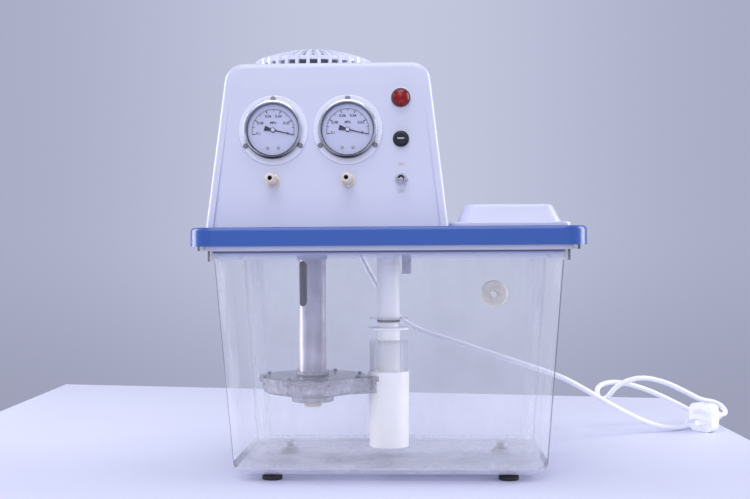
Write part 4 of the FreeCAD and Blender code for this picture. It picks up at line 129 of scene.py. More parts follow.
def noise(material, scale, detail=3.0, stretch=(1, 1, 1), roughness=0.5):
    made = node(material, "ShaderNodeTexNoise", Scale=scale, Detail=detail, Roughness=roughness)
    link(material, place(material, stretch), made.inputs["Vector"])
    return made.outputs["Fac"]


def spread(material, source, low, high, start=0.3, end=0.7):
    """Turn a pattern from one range into another."""
    made = node(material, "ShaderNodeMapRange")
    made.inputs["From Min"].default_value = start
    made.inputs["From Max"].default_value = end
    made.inputs["To Min"].default_value = low
    made.inputs["To Max"].default_value = high
    link(material, source, made.inputs["Value"])
    return made.outputs["Result"]


def mottle(material, principled, source, first, second):
    """Let the colour wander between two close shades."""
    mix = node(material, "ShaderNodeMix", data_type="RGBA")
    mix.inputs["A"].default_value = (*first, 1)
    mix.inputs["B"].default_value = (*second, 1)
    link(material, source, mix.inputs["Factor"])
    link(material, mix.outputs["Result"], principled.inputs["Base Color"])
    return mix


def bump(material, principled, source, depth):
    """Raise and sink the surface by a pattern, over a depth in metres."""
    made = node(material, "ShaderNodeBump", Distance=depth, Strength=1.0)
    link(material, source, made.inputs["Height"])
    link(material, made.outputs["Normal"], principled.inputs["Normal"])


def facing(material, low, high, start, end):
    """A value that grows from a face seen square on to one seen along its surface."""
    weight = node(material, "ShaderNodeLayerWeight", Blend=0.5)
    return spread(material, weight.outputs["Facing"], low, high, start, end)


def shade(color, share):
    return tuple(channel * share for channel in color)


def object_place(material):
    """Where a point of the piece is, as three numbers."""
    parts = node(material, "ShaderNodeSeparateXYZ")
    link(material, place(material), parts.inputs["Vector"])
    return [parts.outputs[axis] for axis in "XYZ"]


def face_way(material):
    """The three parts of the surface direction, as the piece has it."""
    coordinates = node(material, "ShaderNodeTexCoord")
    parts = node(material, "ShaderNodeSeparateXYZ")
    link(material, coordinates.outputs["Normal"], parts.inputs["Vector"])
    return [parts.outputs[axis] for axis in "XYZ"]


def calculate(material, operation, first, *others):
    """One sum on plain values or outputs."""
    made = node(material, "ShaderNodeMath", operation=operation)
    for socket, value in zip(made.inputs, (first, *others)):
        if isinstance(value, (int, float)):
            socket.default_value = value
        else:
            link(material, value, socket)
    return made.outputs["Value"]


def flatness(material):
    """Near 1 on faces that look straight along one axis, less where a corner is rounded."""
    sizes = [calculate(material, "ABSOLUTE", part) for part in face_way(material)]
    return calculate(material, "MAXIMUM", calculate(material, "MAXIMUM", sizes[0], sizes[1]), sizes[2])


def ramp(material, source, low, high, stops):
    """Colours along a distance in metres, from low to high; the fourth number is the density there."""
    made = node(material, "ShaderNodeValToRGB")
    link(material, spread(material, source, 0, 1, low, high), made.inputs["Fac"])
    marks = made.color_ramp.elements
    while len(marks) < len(stops):
        marks.new(0.5)
    for mark, (level, color) in zip(marks, stops):
        mark.position = (level - low) / (high - low)
        mark.color = color
    return made.outputs["Color"], made.outputs["Alpha"]


def blend_color(material, factor, first, second):
    """One colour mixed into another; each may be a plain colour or an output."""
    mix = node(material, "ShaderNodeMix", data_type="RGBA")
    link(material, factor, mix.inputs["Factor"])
    for socket, value in ((mix.inputs["A"], first), (mix.inputs["B"], second)):
        if isinstance(value, tuple):
            socket.default_value = (*value, 1)
        else:
            link(material, value, socket)
    return mix.outputs["Result"]


def blend_value(material, factor, first, second):
    """One number mixed into another; each may be a plain value or an output."""
    mix = node(material, "ShaderNodeMix", data_type="FLOAT")
    link(material, factor, mix.inputs["Factor"])
    for socket, value in ((mix.inputs["A"], first), (mix.inputs["B"], second)):
        if isinstance(value, (int, float)):
            socket.default_value = value
        else:
            link(material, value, socket)
    return mix.outputs["Result"]


def finish_nodes(material, *names):
    """Give named pieces of the frame one finish."""
    for name in names:
        piece = frame["nodes"][name]
        piece.data.materials.clear()
        piece.data.materials.append(material)
    print(material.name, "on", ", ".join(names))


# %% [markdown]
# Three families cover most of the pump: moulded plastic, metal with the lines of its making, and clear
# plastic. A pattern's scale says how often it repeats in a metre, and a depth is in metres.

# %% Families of finish
DRIFT_SCALE = 9
DRIFT_SHADE = 0.975
SHEEN_SCALE = 60
SHEEN_LEAST = 0.95
SHEEN_MOST = 1.06
SKIN_SCALE = 900
BRUSH_SCALE = 300
BRUSH_LEAST = 0.7
BRUSH_MOST = 1.4
STAIN_SCALE = 45
STAIN_RANGE = (0.62, 1.0)
LINES_IN_STAINS = 0.6
SMEAR_SCALE = 14
SMEAR_LEAST = 0.6
SMEAR_MOST = 1.6
SMEAR_RANGE = (0.35, 0.7)


def moulded(name, color, roughness, grain=0.00002, **sockets):
    """Moulded plastic: an even colour with a slow drift, and a fine skin."""
    material, principled = shader(name, color, roughness, **sockets)
    drift = spread(material, noise(material, DRIFT_SCALE), 0, 1)
    mottle(material, principled, drift, color, shade(color, DRIFT_SHADE))
    sheen = spread(material, noise(material, SHEEN_SCALE), roughness * SHEEN_LEAST, roughness * SHEEN_MOST)
    link(material, sheen, principled.inputs["Roughness"])
    bump(material, principled, noise(material, SKIN_SCALE, detail=2), grain)
    return material


def turned_metal(name, color, roughness, stretch=(1, 1, 1), depth=0.00001, worn=0.75):
    """Metal with the fine lines of its making, along or around the piece."""
    material, principled = shader(name, color, roughness, metallic=1.0)
    lines = noise(material, BRUSH_SCALE, detail=4, stretch=stretch)
    faint_lines = calculate(material, "MULTIPLY", lines, LINES_IN_STAINS)
    stains = calculate(material, "ADD", noise(material, STAIN_SCALE, detail=4), faint_lines)
    mottle(material, principled, spread(material, stains, 0, 1, *STAIN_RANGE), color, shade(color, worn))
    painted_shade_and_wipes = spread(material, lines, roughness * BRUSH_LEAST, roughness * BRUSH_MOST)
    link(material, painted_shade_and_wipes, principled.inputs["Roughness"])
    bump(material, principled, lines, depth)
    return material


def see_through(name, color, edge_shade_color, clear, edge, roughness, start, end):
    """Clear plastic: nearly nothing where it is seen square on, dense along its edges, where the darker edge
    colour is painted shade standing in for refraction.
    """
    material, principled = shader(name, color, roughness)
    # painted shade: the colour darkens towards the edges seen along the surface
    mix = mottle(material, principled, facing(material, 0, 1, start, end), color, edge_shade_color)
    haze = noise(material, SMEAR_SCALE, detail=5, roughness=0.6)
    smear = spread(material, haze, clear * SMEAR_LEAST, clear * SMEAR_MOST, *SMEAR_RANGE)
    alpha = blend_value(material, facing(material, 0, 1, start, end), smear, edge)
    link(material, alpha, principled.inputs["Alpha"])
    return material, principled, mix


print("three families of finish are ready")

# %% [markdown]
# The hood, its cap and the filling cover are thick white moulded plastic that looks lavender under
# cool lamps. It is glossy enough for a bright line along each rounded edge.

# %% White plastic
WHITE = (0.65, 0.67, 0.86)
white_plastic = moulded("white_plastic", WHITE, 0.30, Coat_Weight=0.5, Coat_Roughness=0.10)
finish_nodes(white_plastic, "hood_shell", "hatch_cover", "cord_gland", "start_capacitor")
bright_white = moulded("bright_white", (0.78, 0.80, 0.96), 0.28, Coat_Weight=0.4, Coat_Roughness=0.10)
finish_nodes(bright_white, "motor_cap", "gauge_flanges", "lamp_body")
# painted light: the tubes are whiter than the hood's plastic, to make up for the lid's shade on them inside
# the tank
tube_white = moulded("tube_white", (1.0, 0.99, 1.0), 0.4)
finish_nodes(tube_white, "upper_tube", "inner_tube", "silencer_cylinder", "nozzle_plate")

# %% [markdown]
# The lid is the one strong colour: blue plastic with a satin skin that catches a light line on its
# top edge and at its corners.

# %% Blue lid
BLUE = (0.028, 0.098, 0.405)
lid_blue = moulded("lid_blue", BLUE, 0.30, Coat_Weight=0.5, Coat_Roughness=0.14)
finish_nodes(lid_blue, "lid_cover")

# %% [markdown]
# The tank is clear plastic. A full glass shader would hide the pump behind noisy light, so the wall is
# mostly transparent. A dark line of painted shade follows each rounded corner where it is seen along
# its surface, in place of the dark that refraction shows there; the moulded rim is denser in bands,
# and the floor is clouded. Slow noises leave the smears of dried water.

# %% Clear tank
TANK_FOOT = 0.0065
WALL_TOP = 0.2265
FLANGE_TOP = 0.242
FLOOR_LEVEL = 0.0145
BASE_HALVES = (0.162, 0.102)
WALL_DRAFT = 0.017 / 0.220
OUTER_SKIN = (0.0016, 0.0027)
RIM_BANDS = [
    (WALL_TOP, (0.80, 0.82, 1.0, 0.10)), (0.2310, (0.62, 0.66, 0.88, 0.22)),
    (0.2346, (0.50, 0.54, 0.78, 0.55)), (0.2354, (0.15, 0.15, 0.24, 0.85)),
    (0.2366, (0.15, 0.15, 0.24, 0.85)), (0.2374, (0.70, 0.72, 0.90, 0.88)),
    (FLANGE_TOP, (0.55, 0.57, 0.74, 0.88))]
RIM_EDGE = 0.0002
FLOOR_EDGE = 0.001
TANK_PALE = (0.88, 0.90, 1.0)
TANK_FLOOR = (0.77, 0.76, 0.86)
# painted shade: the dark line along the tank's rounded corners stands in for the dark that refraction shows
# there
CORNER_PAINTED_SHADE = (0.045, 0.045, 0.10)
CORNER_DENSITY = 0.95
CORNER_FLATNESS = (0.985, 0.996)
CORNER_FACING = (0.25, 0.50)
FRONT_STRENGTH = 0.95
BACK_STRENGTH = 0.30
FRONT_TO_BACK = (-0.02, 0.02)
HAZE = (0.035, 0.115)
RUNS = 0.06
STREAKS = 0.20
CORNER_HAZE = 0.05
FLOOR_CLOUD = (0.34, 0.66)
WAVE_DEPTH = 0.0006
RUN_STRETCH = (1, 1, 0.14)
STREAK_STRETCH = (1, 1, 0.03)


def outer_skin(material, where):
    """1 on the outside of the tank's four walls, 0 on the inside."""
    gaps = []
    for part, half in zip(where, BASE_HALVES):
        wall_half = calculate(material, "MULTIPLY_ADD", where[2], WALL_DRAFT, half - WALL_DRAFT * TANK_FOOT)
        gaps.append(calculate(material, "SUBTRACT", wall_half, calculate(material, "ABSOLUTE", part)))
    nearest = calculate(material, "MINIMUM", *gaps)
    return spread(material, nearest, 1, 0, *OUTER_SKIN)


def corner_shade_strength(material, where, rounded):
    """How strong the painted shade along a rounded corner is; the far corners show it less."""
    depth = spread(material, where[1], FRONT_STRENGTH, BACK_STRENGTH, *FRONT_TO_BACK)
    strength = calculate(material, "MULTIPLY", outer_skin(material, where), depth)
    edge_on = facing(material, 0, 1, *CORNER_FACING)
    return calculate(material, "MULTIPLY", calculate(material, "MULTIPLY", rounded, strength), edge_on)


def tank_walls(material, rounded):
    """The density of the walls: haze, runs of dried water, and streaks down the corners."""
    clouds = noise(material, scale=13, detail=6, roughness=0.62)
    haze = spread(material, clouds, *HAZE, start=0.38, end=0.72)
    wide_drips = noise(material, scale=30, stretch=RUN_STRETCH)
    runs = spread(material, wide_drips, 0, RUNS, start=0.50, end=0.75)
    fine_drips = noise(material, scale=120, stretch=STREAK_STRETCH)
    streaks = spread(material, fine_drips, 0, STREAKS, start=0.45, end=0.75)
    corners = calculate(material, "MULTIPLY", rounded, calculate(material, "ADD", streaks, CORNER_HAZE))
    return calculate(material, "ADD", calculate(material, "ADD", haze, runs), corners)


def tank_finish():
    """Clear walls with dried smears, a denser moulded rim, and a clouded floor."""
    material, principled = shader("tank_clear", TANK_PALE, roughness=0.07, Specular_IOR_Level=0.3)
    where = object_place(material)
    rounded = spread(material, flatness(material), 1, 0, *CORNER_FLATNESS)
    line = corner_shade_strength(material, where, rounded)
    band_color, band_density = ramp(material, where[2], WALL_TOP, FLANGE_TOP, RIM_BANDS)
    in_rim = spread(material, where[2], 0, 1, WALL_TOP - RIM_EDGE, WALL_TOP + RIM_EDGE)
    in_floor = spread(material, where[2], 1, 0, FLOOR_LEVEL - FLOOR_EDGE, FLOOR_LEVEL + FLOOR_EDGE)
    patches = noise(material, scale=24, detail=6, roughness=0.65)
    clouded = spread(material, patches, *FLOOR_CLOUD, start=0.35, end=0.68)
    with_rim = blend_value(material, in_rim, tank_walls(material, rounded), band_density)
    with_floor = blend_value(material, in_floor, with_rim, clouded)
    density = blend_value(material, line, with_floor, CORNER_DENSITY)
    link(material, density, principled.inputs["Alpha"])
    banded = blend_color(material, in_rim, TANK_PALE, band_color)
    floored = blend_color(material, in_floor, banded, TANK_FLOOR)
    # painted shade: the corners' dark line is mixed into the colour
    lined = blend_color(material, line, floored, CORNER_PAINTED_SHADE)
    link(material, lined, principled.inputs["Base Color"])
    bump(material, principled, noise(material, scale=7, detail=2), WAVE_DEPTH)
    return material


finish_nodes(tank_finish(), "water_tank")

# %% [markdown]
# The pump's housing is the same plastic, scratched and half clouded, with pale streaks that are
# partly painted highlight, and a dark seam where its cover is screwed on. The smaller clear and milky
# pieces differ only in colour and density.

# %% Clear pump pieces
JOINT_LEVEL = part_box("volute_body")[1][2]
SEAM_RISE = 0.0032
SEAM_HALF = 0.0009
SEAM_COLOR = (0.10, 0.10, 0.17)
SCRATCH_DARK = (0.50, 0.49, 0.58)
PALE_SCRATCH_AND_HIGHLIGHT = (0.80, 0.79, 0.92)


def pump_finish():
    """Scratched clear plastic, its pale streaks partly painted highlight, with a dark seam."""
    material, principled, mix = see_through("pump_clear", (0.66, 0.64, 0.76), (0.13, 0.12, 0.17),
                                            clear=0.46, edge=0.92, roughness=0.15, start=0.5, end=0.95)
    scuffs = noise(material, scale=260, detail=5, stretch=(1, 1, 0.6), roughness=0.7)
    # partly painted highlight: the pale streaks among the scratches stand in for highlights
    scratches_and_highlights = spread(material, scuffs, 0, 1, start=0.40, end=0.62)
    streaked = blend_color(material, scratches_and_highlights, SCRATCH_DARK, PALE_SCRATCH_AND_HIGHLIGHT)
    height = object_place(material)[2]
    seam = calculate(material, "COMPARE", height, JOINT_LEVEL + SEAM_RISE, SEAM_HALF)
    link(material, blend_color(material, seam, streaked, SEAM_COLOR), mix.inputs["A"])
    bump(material, principled, noise(material, scale=150, detail=5), depth=0.0012)
    return material


finish_nodes(pump_finish(), "volute_body", "volute_cover")
print("the dark seam is at", JOINT_LEVEL + SEAM_RISE)
chamber_clear, _, _ = see_through("chamber_clear", (0.70, 0.71, 0.86), (0.26, 0.27, 0.36),
                                  clear=0.14, edge=0.8, roughness=0.1, start=0.45, end=1.0)
finish_nodes(chamber_clear, "ejector_chamber", "tube_disc")
milky, _, _ = see_through("milky", (0.50, 0.50, 0.58), (0.30, 0.30, 0.38),
                          clear=0.7, edge=0.95, roughness=0.35, start=0.3, end=1.0)
finish_nodes(milky, "return_tube", "suction_hoses")
port_milky, _, _ = see_through("port_milky", (1.0, 0.94, 0.82), (0.92, 0.82, 0.62),
                               clear=0.94, edge=0.98, roughness=0.4, start=0.5, end=1.0)
finish_nodes(port_milky, "overflow_nozzle", "overflow_nut")
window, _, _ = see_through("window", (0.75, 0.78, 0.9), (0.5, 0.52, 0.62),
                           clear=0.03, edge=0.4, roughness=0.03, start=0.3, end=1.0)
finish_nodes(window, "gauge_lenses", "fuse_link")

# %% [markdown]
# The column and the shaft are drawn stainless steel, with fine lines along them. Screws and bearings
# are darker steel, and the taps have a pale gold plating. The bezels are bright chrome, with painted
# shade along the bottom of each ring in place of the dark that the chrome mirrors there.

# %% Metals
ALONG_Z = (1, 1, 0.02)
AROUND_Z = (0.05, 0.05, 1)
STACKED = (0.02, 0.02, 1)
GAUGE_MIDDLE = joints["left_needle_turn"]["pos_m"][2]
CHROME_SHADE = (GAUGE_MIDDLE - 0.028, GAUGE_MIDDLE - 0.006)
# painted shade: the colour the bezels fade to along their bottoms, standing in for a dark reflection
CHROME_PAINTED_SHADE = (0.03, 0.03, 0.05)
CHROME_BRIGHT = (0.95, 0.96, 1.0)


def chrome_finish():
    """Bright plating, with painted shade at the bottom of a gauge for the dark that it mirrors there."""
    material, principled = shader("chrome", (0.80, 0.82, 0.90), 0.08, metallic=1.0)
    # painted shade: the rings darken towards their bottoms, as a painted reflection of the dark below
    painted_shade_below = spread(material, object_place(material)[2], 0, 1, *CHROME_SHADE)
    wiped = spread(material, noise(material, scale=90), low=0.85, high=1.0)
    painted_shade_and_wipes = calculate(material, "MULTIPLY", painted_shade_below, wiped)
    mottle(material, principled, painted_shade_and_wipes, CHROME_PAINTED_SHADE, CHROME_BRIGHT)
    bump(material, principled, noise(material, scale=300), depth=0.000002)
    return material


chrome = chrome_finish()
finish_nodes(turned_metal("stainless", (0.70, 0.67, 0.75), 0.5, ALONG_Z), "pump_column", "motor_shaft")
steel = turned_metal("steel", (0.34, 0.34, 0.38), 0.3)
finish_nodes(steel, "hood_screws", "volute_screws", "gauge_screws", "bearings")
nickel = turned_metal("nickel", (0.95, 0.95, 0.98), 0.24, depth=0.000004, worn=0.7)
finish_nodes(nickel, "switch_nut", "switch_lever")
champagne = turned_metal("champagne", (1.0, 0.88, 0.74), 0.34, depth=0.000004, worn=0.92)
finish_nodes(champagne, "hose_taps")
brass = turned_metal("brass", (0.60, 0.44, 0.20), 0.35)
finish_nodes(brass, "hose_tap_nuts", "vacuum_tees", "gauge_movements")
finish_nodes(turned_metal("bronze", (0.42, 0.24, 0.11), 0.5), "shaft_bush")
cast_aluminium = turned_metal("cast_aluminium", (0.42, 0.43, 0.46), 0.55, depth=0.0002)
finish_nodes(cast_aluminium, "lower_end_bell", "upper_end_bell")
core_iron = turned_metal("core_iron", (0.12, 0.12, 0.13), 0.6, STACKED, 0.00015)
finish_nodes(core_iron, "stator_core", "rotor_core")
finish_nodes(turned_metal("copper", (0.48, 0.17, 0.06), 0.35, AROUND_Z, 0.0003), "stator_windings")

# %% [markdown]
# The rest is small: rubber feet, black plastic, nylon, the dials, the pale rim of each gauge case,
# the switch, which is metal outside the panel, and the red lamp, with painted light and shade on its
# small moulded facets and painted shade round its rim.

# %% Small pieces
RIM_COLOR = (0.34, 0.36, 0.50)
RIM_DARK = (0.03, 0.03, 0.06)
RIM_LINE = (0.0261, 0.0268)
RIM_SOFT = 0.0001
RIM_RISE = 0.0003
SWITCH_PANEL = joints["switch_flip"]["pos_m"][1] + 0.0035
SWITCH_EDGE = 0.001
SWITCH_BLACK = (0.02, 0.02, 0.03)
SWITCH_METAL = (0.62, 0.62, 0.66)
FACET_SCALE = 700.0
# painted light and shade: the facets' bright and dark cells, and the dark colour of the rim
FACET_PAINTED_LIGHT = (0.46, 0.004, 0.008)
FACET_PAINTED_SHADE = (0.16, 0.001, 0.003)
LAMP_PAINTED_RIM_SHADE = (0.05, 0.0, 0.001)


def gauge_rim():
    """The case's pale rim, seen through the lens, with one dark line round it."""
    material, principled = shader("gauge_rim", RIM_COLOR, 0.3)
    where = object_place(material)
    asides = []
    for side in ("left", "right"):
        middle = joints[f"{side}_needle_turn"]["pos_m"][0]
        asides.append(calculate(material, "ABSOLUTE", calculate(material, "SUBTRACT", where[0], middle)))
    aside = calculate(material, "MINIMUM", *asides)
    rise = calculate(material, "SUBTRACT", where[2], GAUGE_MIDDLE + RIM_RISE)
    squares = [calculate(material, "MULTIPLY", part, part) for part in (aside, rise)]
    radius = calculate(material, "SQRT", calculate(material, "ADD", *squares))
    past_start = spread(material, radius, 0, 1, RIM_LINE[0] - RIM_SOFT, RIM_LINE[0] + RIM_SOFT)
    before_end = spread(material, radius, 1, 0, RIM_LINE[1] - RIM_SOFT, RIM_LINE[1] + RIM_SOFT)
    dark = calculate(material, "MULTIPLY", past_start, before_end)
    mottle(material, principled, dark, RIM_COLOR, RIM_DARK)
    return material


def switch_finish():
    """The switch is metal where it stands in front of the panel and black behind it."""
    material, principled = shader("switch_finish", SWITCH_BLACK, 0.25)
    depth = object_place(material)[1]
    outside = spread(material, depth, 1, 0, SWITCH_PANEL, SWITCH_PANEL + SWITCH_EDGE)
    mottle(material, principled, outside, SWITCH_BLACK, SWITCH_METAL)
    link(material, outside, principled.inputs["Metallic"])
    return material


def lamp_finish():
    """Deep red glass: small facets painted in light and shade, a rim darkened by painted shade, and a clear
    gloss.
    """
    material, principled = shader("lamp_red", (0.55, 0.004, 0.008), 0.30, Coat_Weight=0.45,
                                  Coat_Roughness=0.06, Specular_IOR_Level=0.25)
    facets = node(material, "ShaderNodeTexVoronoi", Scale=FACET_SCALE)
    link(material, place(material), facets.inputs["Vector"])
    cells = spread(material, facets.outputs["Distance"], 0, 1, start=0.0, end=0.8)
    painted_facets = blend_color(material, cells, FACET_PAINTED_LIGHT, FACET_PAINTED_SHADE)
    # painted shade: the rim darkens where the dome turns away
    painted_rim_shade = blend_color(material, facing(material, 0, 1, start=0.12, end=0.62), painted_facets, LAMP_PAINTED_RIM_SHADE)
    link(material, painted_rim_shade, principled.inputs["Base Color"])
    return material


finish_nodes(moulded("rubber", (0.022, 0.022, 0.028), 0.7, 0.0002), "rubber_feet", "tube_seal_ring")
black_plastic = moulded("black_plastic", (0.012, 0.013, 0.022), 0.22)
finish_nodes(black_plastic, "fuse_holder", "fuse_cap", "cooling_fan")
finish_nodes(gauge_rim(), "gauge_cases")
finish_nodes(switch_finish(), "switch_body")
finish_nodes(moulded("motor_paint", (0.06, 0.07, 0.09), 0.45, 0.00008), "motor_housing")
finish_nodes(moulded("nylon", (0.66, 0.60, 0.48), 0.5), "inlet_ring", "impeller", "terminal_block")
finish_nodes(moulded("collar_grey", (0.36, 0.35, 0.42), 0.4), "column_collar")
finish_nodes(moulded("dial_white", (0.60, 0.63, 0.88), 0.45), "gauge_dials")
ink = moulded("ink", (0.012, 0.012, 0.03), 0.6)
finish_nodes(ink, "gauge_pointer_left", "gauge_pointer_right")
finish_nodes(lamp_finish(), "lamp_lens")
lead_white = moulded("lead_white", (0.88, 0.89, 1.0), 0.36, 0.00006)
finish_nodes(lead_white, "power_plug")

# %% [markdown]
# A small piece that carries no load is made here: a mesh is started from an operator, moved to its
# place in the mesh itself, and made to ride on the body that carries it.

# %% Piece helpers
LETTER_WEIGHT = 0.022
NEAR_TOP = 0.01


def new_piece(name, work, material, body="cabinet", smooth=False):
    """Link a finished mesh as a piece that rides on a body."""
    mesh = bpy.data.meshes.new(name)
    work.to_mesh(mesh)
    work.free()
    mesh.materials.append(material)
    for face in mesh.polygons:
        face.material_index = 0
        face.use_smooth = smooth
    piece = bpy.data.objects.new(name, mesh)
    bpy.context.scene.collection.objects.link(piece)
    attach(piece, body)
    return piece


def panel_place(point, turn=0.0, aside=0.0, rise=0.0, out=0.0):
    """A place on the leaning front panel: X to the right, Y up the slope, Z out of it."""
    normal = Vector(joints["left_needle_turn"]["axis"]).normalized()
    across = Vector((1, 0, 0))
    slope = normal.cross(across)
    base = Matrix((across, slope, normal)).transposed().to_4x4()
    base.translation = Vector(point) + across * aside + slope * rise + normal * out
    return base @ Matrix.Rotation(turn, 4, "Z")


def disc(work, matrix, radius, height, segments, soft):
    """A round plate standing on a place, its upper edge softened."""
    made = bmesh.ops.create_cone(work, cap_ends=True, segments=segments, radius1=radius, radius2=radius,
                                 depth=height, matrix=matrix @ Matrix.Translation((0, 0, height / 2)))
    top = matrix @ Vector((0, 0, height))
    way = (matrix @ Vector((0, 0, 1)) - matrix.translation).normalized()
    edges = {edge for vert in made["verts"] for edge in vert.link_edges
             if all(abs((end.co - top).dot(way)) < height * NEAR_TOP for end in edge.verts)}
    bmesh.ops.bevel(work, geom=list(edges), offset=soft, segments=3, profile=0.5, affect="EDGES",
                    material=-1)


def bar(work, matrix, length, width, height):
    """A thin straight mark, from its place outwards along X."""
    size = Matrix.Diagonal((length, width, height, 1))
    middle = Matrix.Translation((length / 2, 0, height / 2))
    bmesh.ops.create_cube(work, size=1, matrix=matrix @ middle @ size)


def words(work, matrix, text, height, thickness):
    """Plain letters or numbers, centred on a place."""
    curve = bpy.data.curves.new("words", "FONT")
    curve.body = text
    curve.size = height
    curve.extrude = thickness / 2
    curve.offset = height * LETTER_WEIGHT
    curve.align_x = "CENTER"
    curve.align_y = "CENTER"
    holder = bpy.data.objects.new("words", curve)
    mesh = bpy.data.meshes.new_from_object(holder)
    mesh.transform(matrix @ Matrix.Translation((0, 0, thickness / 2)))
    work.from_mesh(mesh)
    bpy.data.objects.remove(holder)
    bpy.data.curves.remove(curve)
    bpy.data.meshes.remove(mesh)


# %% [markdown]
# Each dial has a scale of a little over half a turn, read from its right-hand end. The arc, the
# ticks and the plain numbers are thin raised ink, and two small screws hold the dial plate. They
# keep the steel that the model brought along, which is lighter than that of the screws outside.

# %% Gauge dials
DIAL_BACK = -0.0002
INK = 0.00012
ARC_WIDTH = 0.0003
SCALE_RADIUS = 0.0217
SCALE_START = math.radians(-13)
SCALE_END = math.radians(192)
SCALE_STEPS = 50
STEPS_BETWEEN_NUMBERS = 10
LONG_TICK = (0.0034, 0.0009)
MIDDLE_TICK = (0.0026, 0.0006)
SHORT_TICK = (0.0014, 0.00035)
NUMBERS = ("0", "0.02", "0.04", "0.06", "0.08", "0.1")
NUMBER_HEIGHT = 0.0039
NUMBER_REACH = 0.70
UNIT_HEIGHT = 0.0038
UNIT_RISE = 0.0076
DIAL_SCREW_ASIDE = 0.0054
DIAL_SCREW_RISE = -0.0183
NEEDLE_HUB_OUT = 0.0024


def tick_size(step):
    """Length and width of one tick: the longest stand at the numbers."""
    if step % STEPS_BETWEEN_NUMBERS == 0:
        return LONG_TICK
    if step % (STEPS_BETWEEN_NUMBERS // 2) == 0:
        return MIDDLE_TICK
    return SHORT_TICK


def scale_print(work, pivot):
    """The ticks, and the arc as one short bar between each two of them."""
    turn = (SCALE_END - SCALE_START) / SCALE_STEPS
    chord = SCALE_RADIUS * turn
    for step in range(SCALE_STEPS + 1):
        angle = SCALE_START + (SCALE_END - SCALE_START) * step / SCALE_STEPS
        length, width = tick_size(step)
        tick = panel_place(pivot, angle, out=DIAL_BACK) @ Matrix.Translation((SCALE_RADIUS - length, 0, 0))
        bar(work, tick, length, width, INK)
        if step < SCALE_STEPS:
            across = Matrix.Translation((SCALE_RADIUS, -chord / 2, 0)) @ Matrix.Rotation(math.pi / 2, 4, "Z")
            bar(work, panel_place(pivot, angle + turn / 2, out=DIAL_BACK) @ across, chord, ARC_WIDTH, INK)


def dial_print(side):
    pivot = joints[f"{side}_needle_turn"]["pos_m"]
    work = bmesh.new()
    scale_print(work, pivot)
    reach = SCALE_RADIUS * NUMBER_REACH
    for index, number in enumerate(NUMBERS):
        angle = SCALE_START + (SCALE_END - SCALE_START) * index / (len(NUMBERS) - 1)
        middle = panel_place(pivot, 0, math.cos(angle) * reach, math.sin(angle) * reach, DIAL_BACK)
        words(work, middle, number, NUMBER_HEIGHT, INK)
    words(work, panel_place(pivot, 0, 0, UNIT_RISE, DIAL_BACK), "MPa", UNIT_HEIGHT, INK)
    new_piece(f"dial_print_{side}", work, ink)
    screws = bmesh.new()
    for aside in (-DIAL_SCREW_ASIDE, DIAL_SCREW_ASIDE):
        middle = panel_place(pivot, 0, aside, DIAL_SCREW_RISE, DIAL_BACK)
        disc(screws, middle, radius=0.0018, height=0.0006, segments=20, soft=0.0003)
    new_piece(f"dial_screws_{side}", screws, bpy.data.materials["steel"])
    hub = bmesh.new()
    middle = panel_place(pivot, out=NEEDLE_HUB_OUT)
    disc(hub, middle, radius=0.0019, height=0.0003, segments=28, soft=0.0001)
    new_piece(f"needle_hub_{side}", hub, white_plastic, f"{side}_needle")


for gauge_side in ("left", "right"):
    dial_print(gauge_side)
print("printed two dials")

# %% [markdown]
# The bezel is a thin chromed ring, pressed over the case. Its section is drawn once, from the skirt
# over the rounded front to the lip on the glass, and spun round the gauge.

# %% Gauge bezels
BEZEL_SECTION = [
    (0.0285, 0.0003), (0.0300, 0.0003), (0.0300, 0.0056), (0.0298, 0.0062), (0.0294, 0.0067),
    (0.0288, 0.0069), (0.0283, 0.0069), (0.0278, 0.0067), (0.0275, 0.0064), (0.0275, 0.0061),
    (0.0285, 0.0061)]
BEZEL_TURNS = 96
SAME_POINT = 0.000001


def bezel_ring(side):
    pivot = panel_place(joints[f"{side}_needle_turn"]["pos_m"])
    work = bmesh.new()
    verts = [work.verts.new((radius, 0, level)) for radius, level in BEZEL_SECTION]
    edges = [work.edges.new(pair) for pair in zip(verts, verts[1:] + verts[:1])]
    bmesh.ops.spin(work, geom=verts + edges, cent=(0, 0, 0), axis=(0, 0, 1), dvec=(0, 0, 0),
                   angle=math.tau, steps=BEZEL_TURNS, use_merge=True, use_duplicate=False)
    bmesh.ops.remove_doubles(work, verts=work.verts, dist=SAME_POINT)
    bmesh.ops.recalc_face_normals(work, faces=work.faces)
    bmesh.ops.transform(work, matrix=pivot, verts=work.verts)
    ring = new_piece(f"bezel_ring_{side}", work, chrome, smooth=True)
    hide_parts("gauge_bezels")


for gauge_side in ("left", "right"):
    bezel_ring(gauge_side)
print("spun two bezels of", len(BEZEL_SECTION), "points")

# %% [markdown]
# Two plain words tell which way the switch is on, and a pale bar in the fuse cap's slot is a painted
# highlight.

# %% Marks by the switch
SWITCH_PIVOT_OUT = 0.004
WORD_HEIGHT = 0.0042
ON_RISE = 0.0155
OFF_RISE = -0.0125
SLOT_BACK = 0.0010
SLOT_LENGTH = 0.0068
SLOT_WIDTH = 0.0012
HIGHLIGHT_THICKNESS = 0.0001
pale_gold = moulded("pale_gold", (0.52, 0.46, 0.40), 0.4)


def switch_words():
    pivot = joints["switch_flip"]["pos_m"]
    work = bmesh.new()
    for text, rise in (("ON", ON_RISE), ("OFF", OFF_RISE)):
        words(work, panel_place(pivot, 0, 0, rise, -SWITCH_PIVOT_OUT), text, WORD_HEIGHT, INK)
    new_piece("switch_words", work, pale_gold)


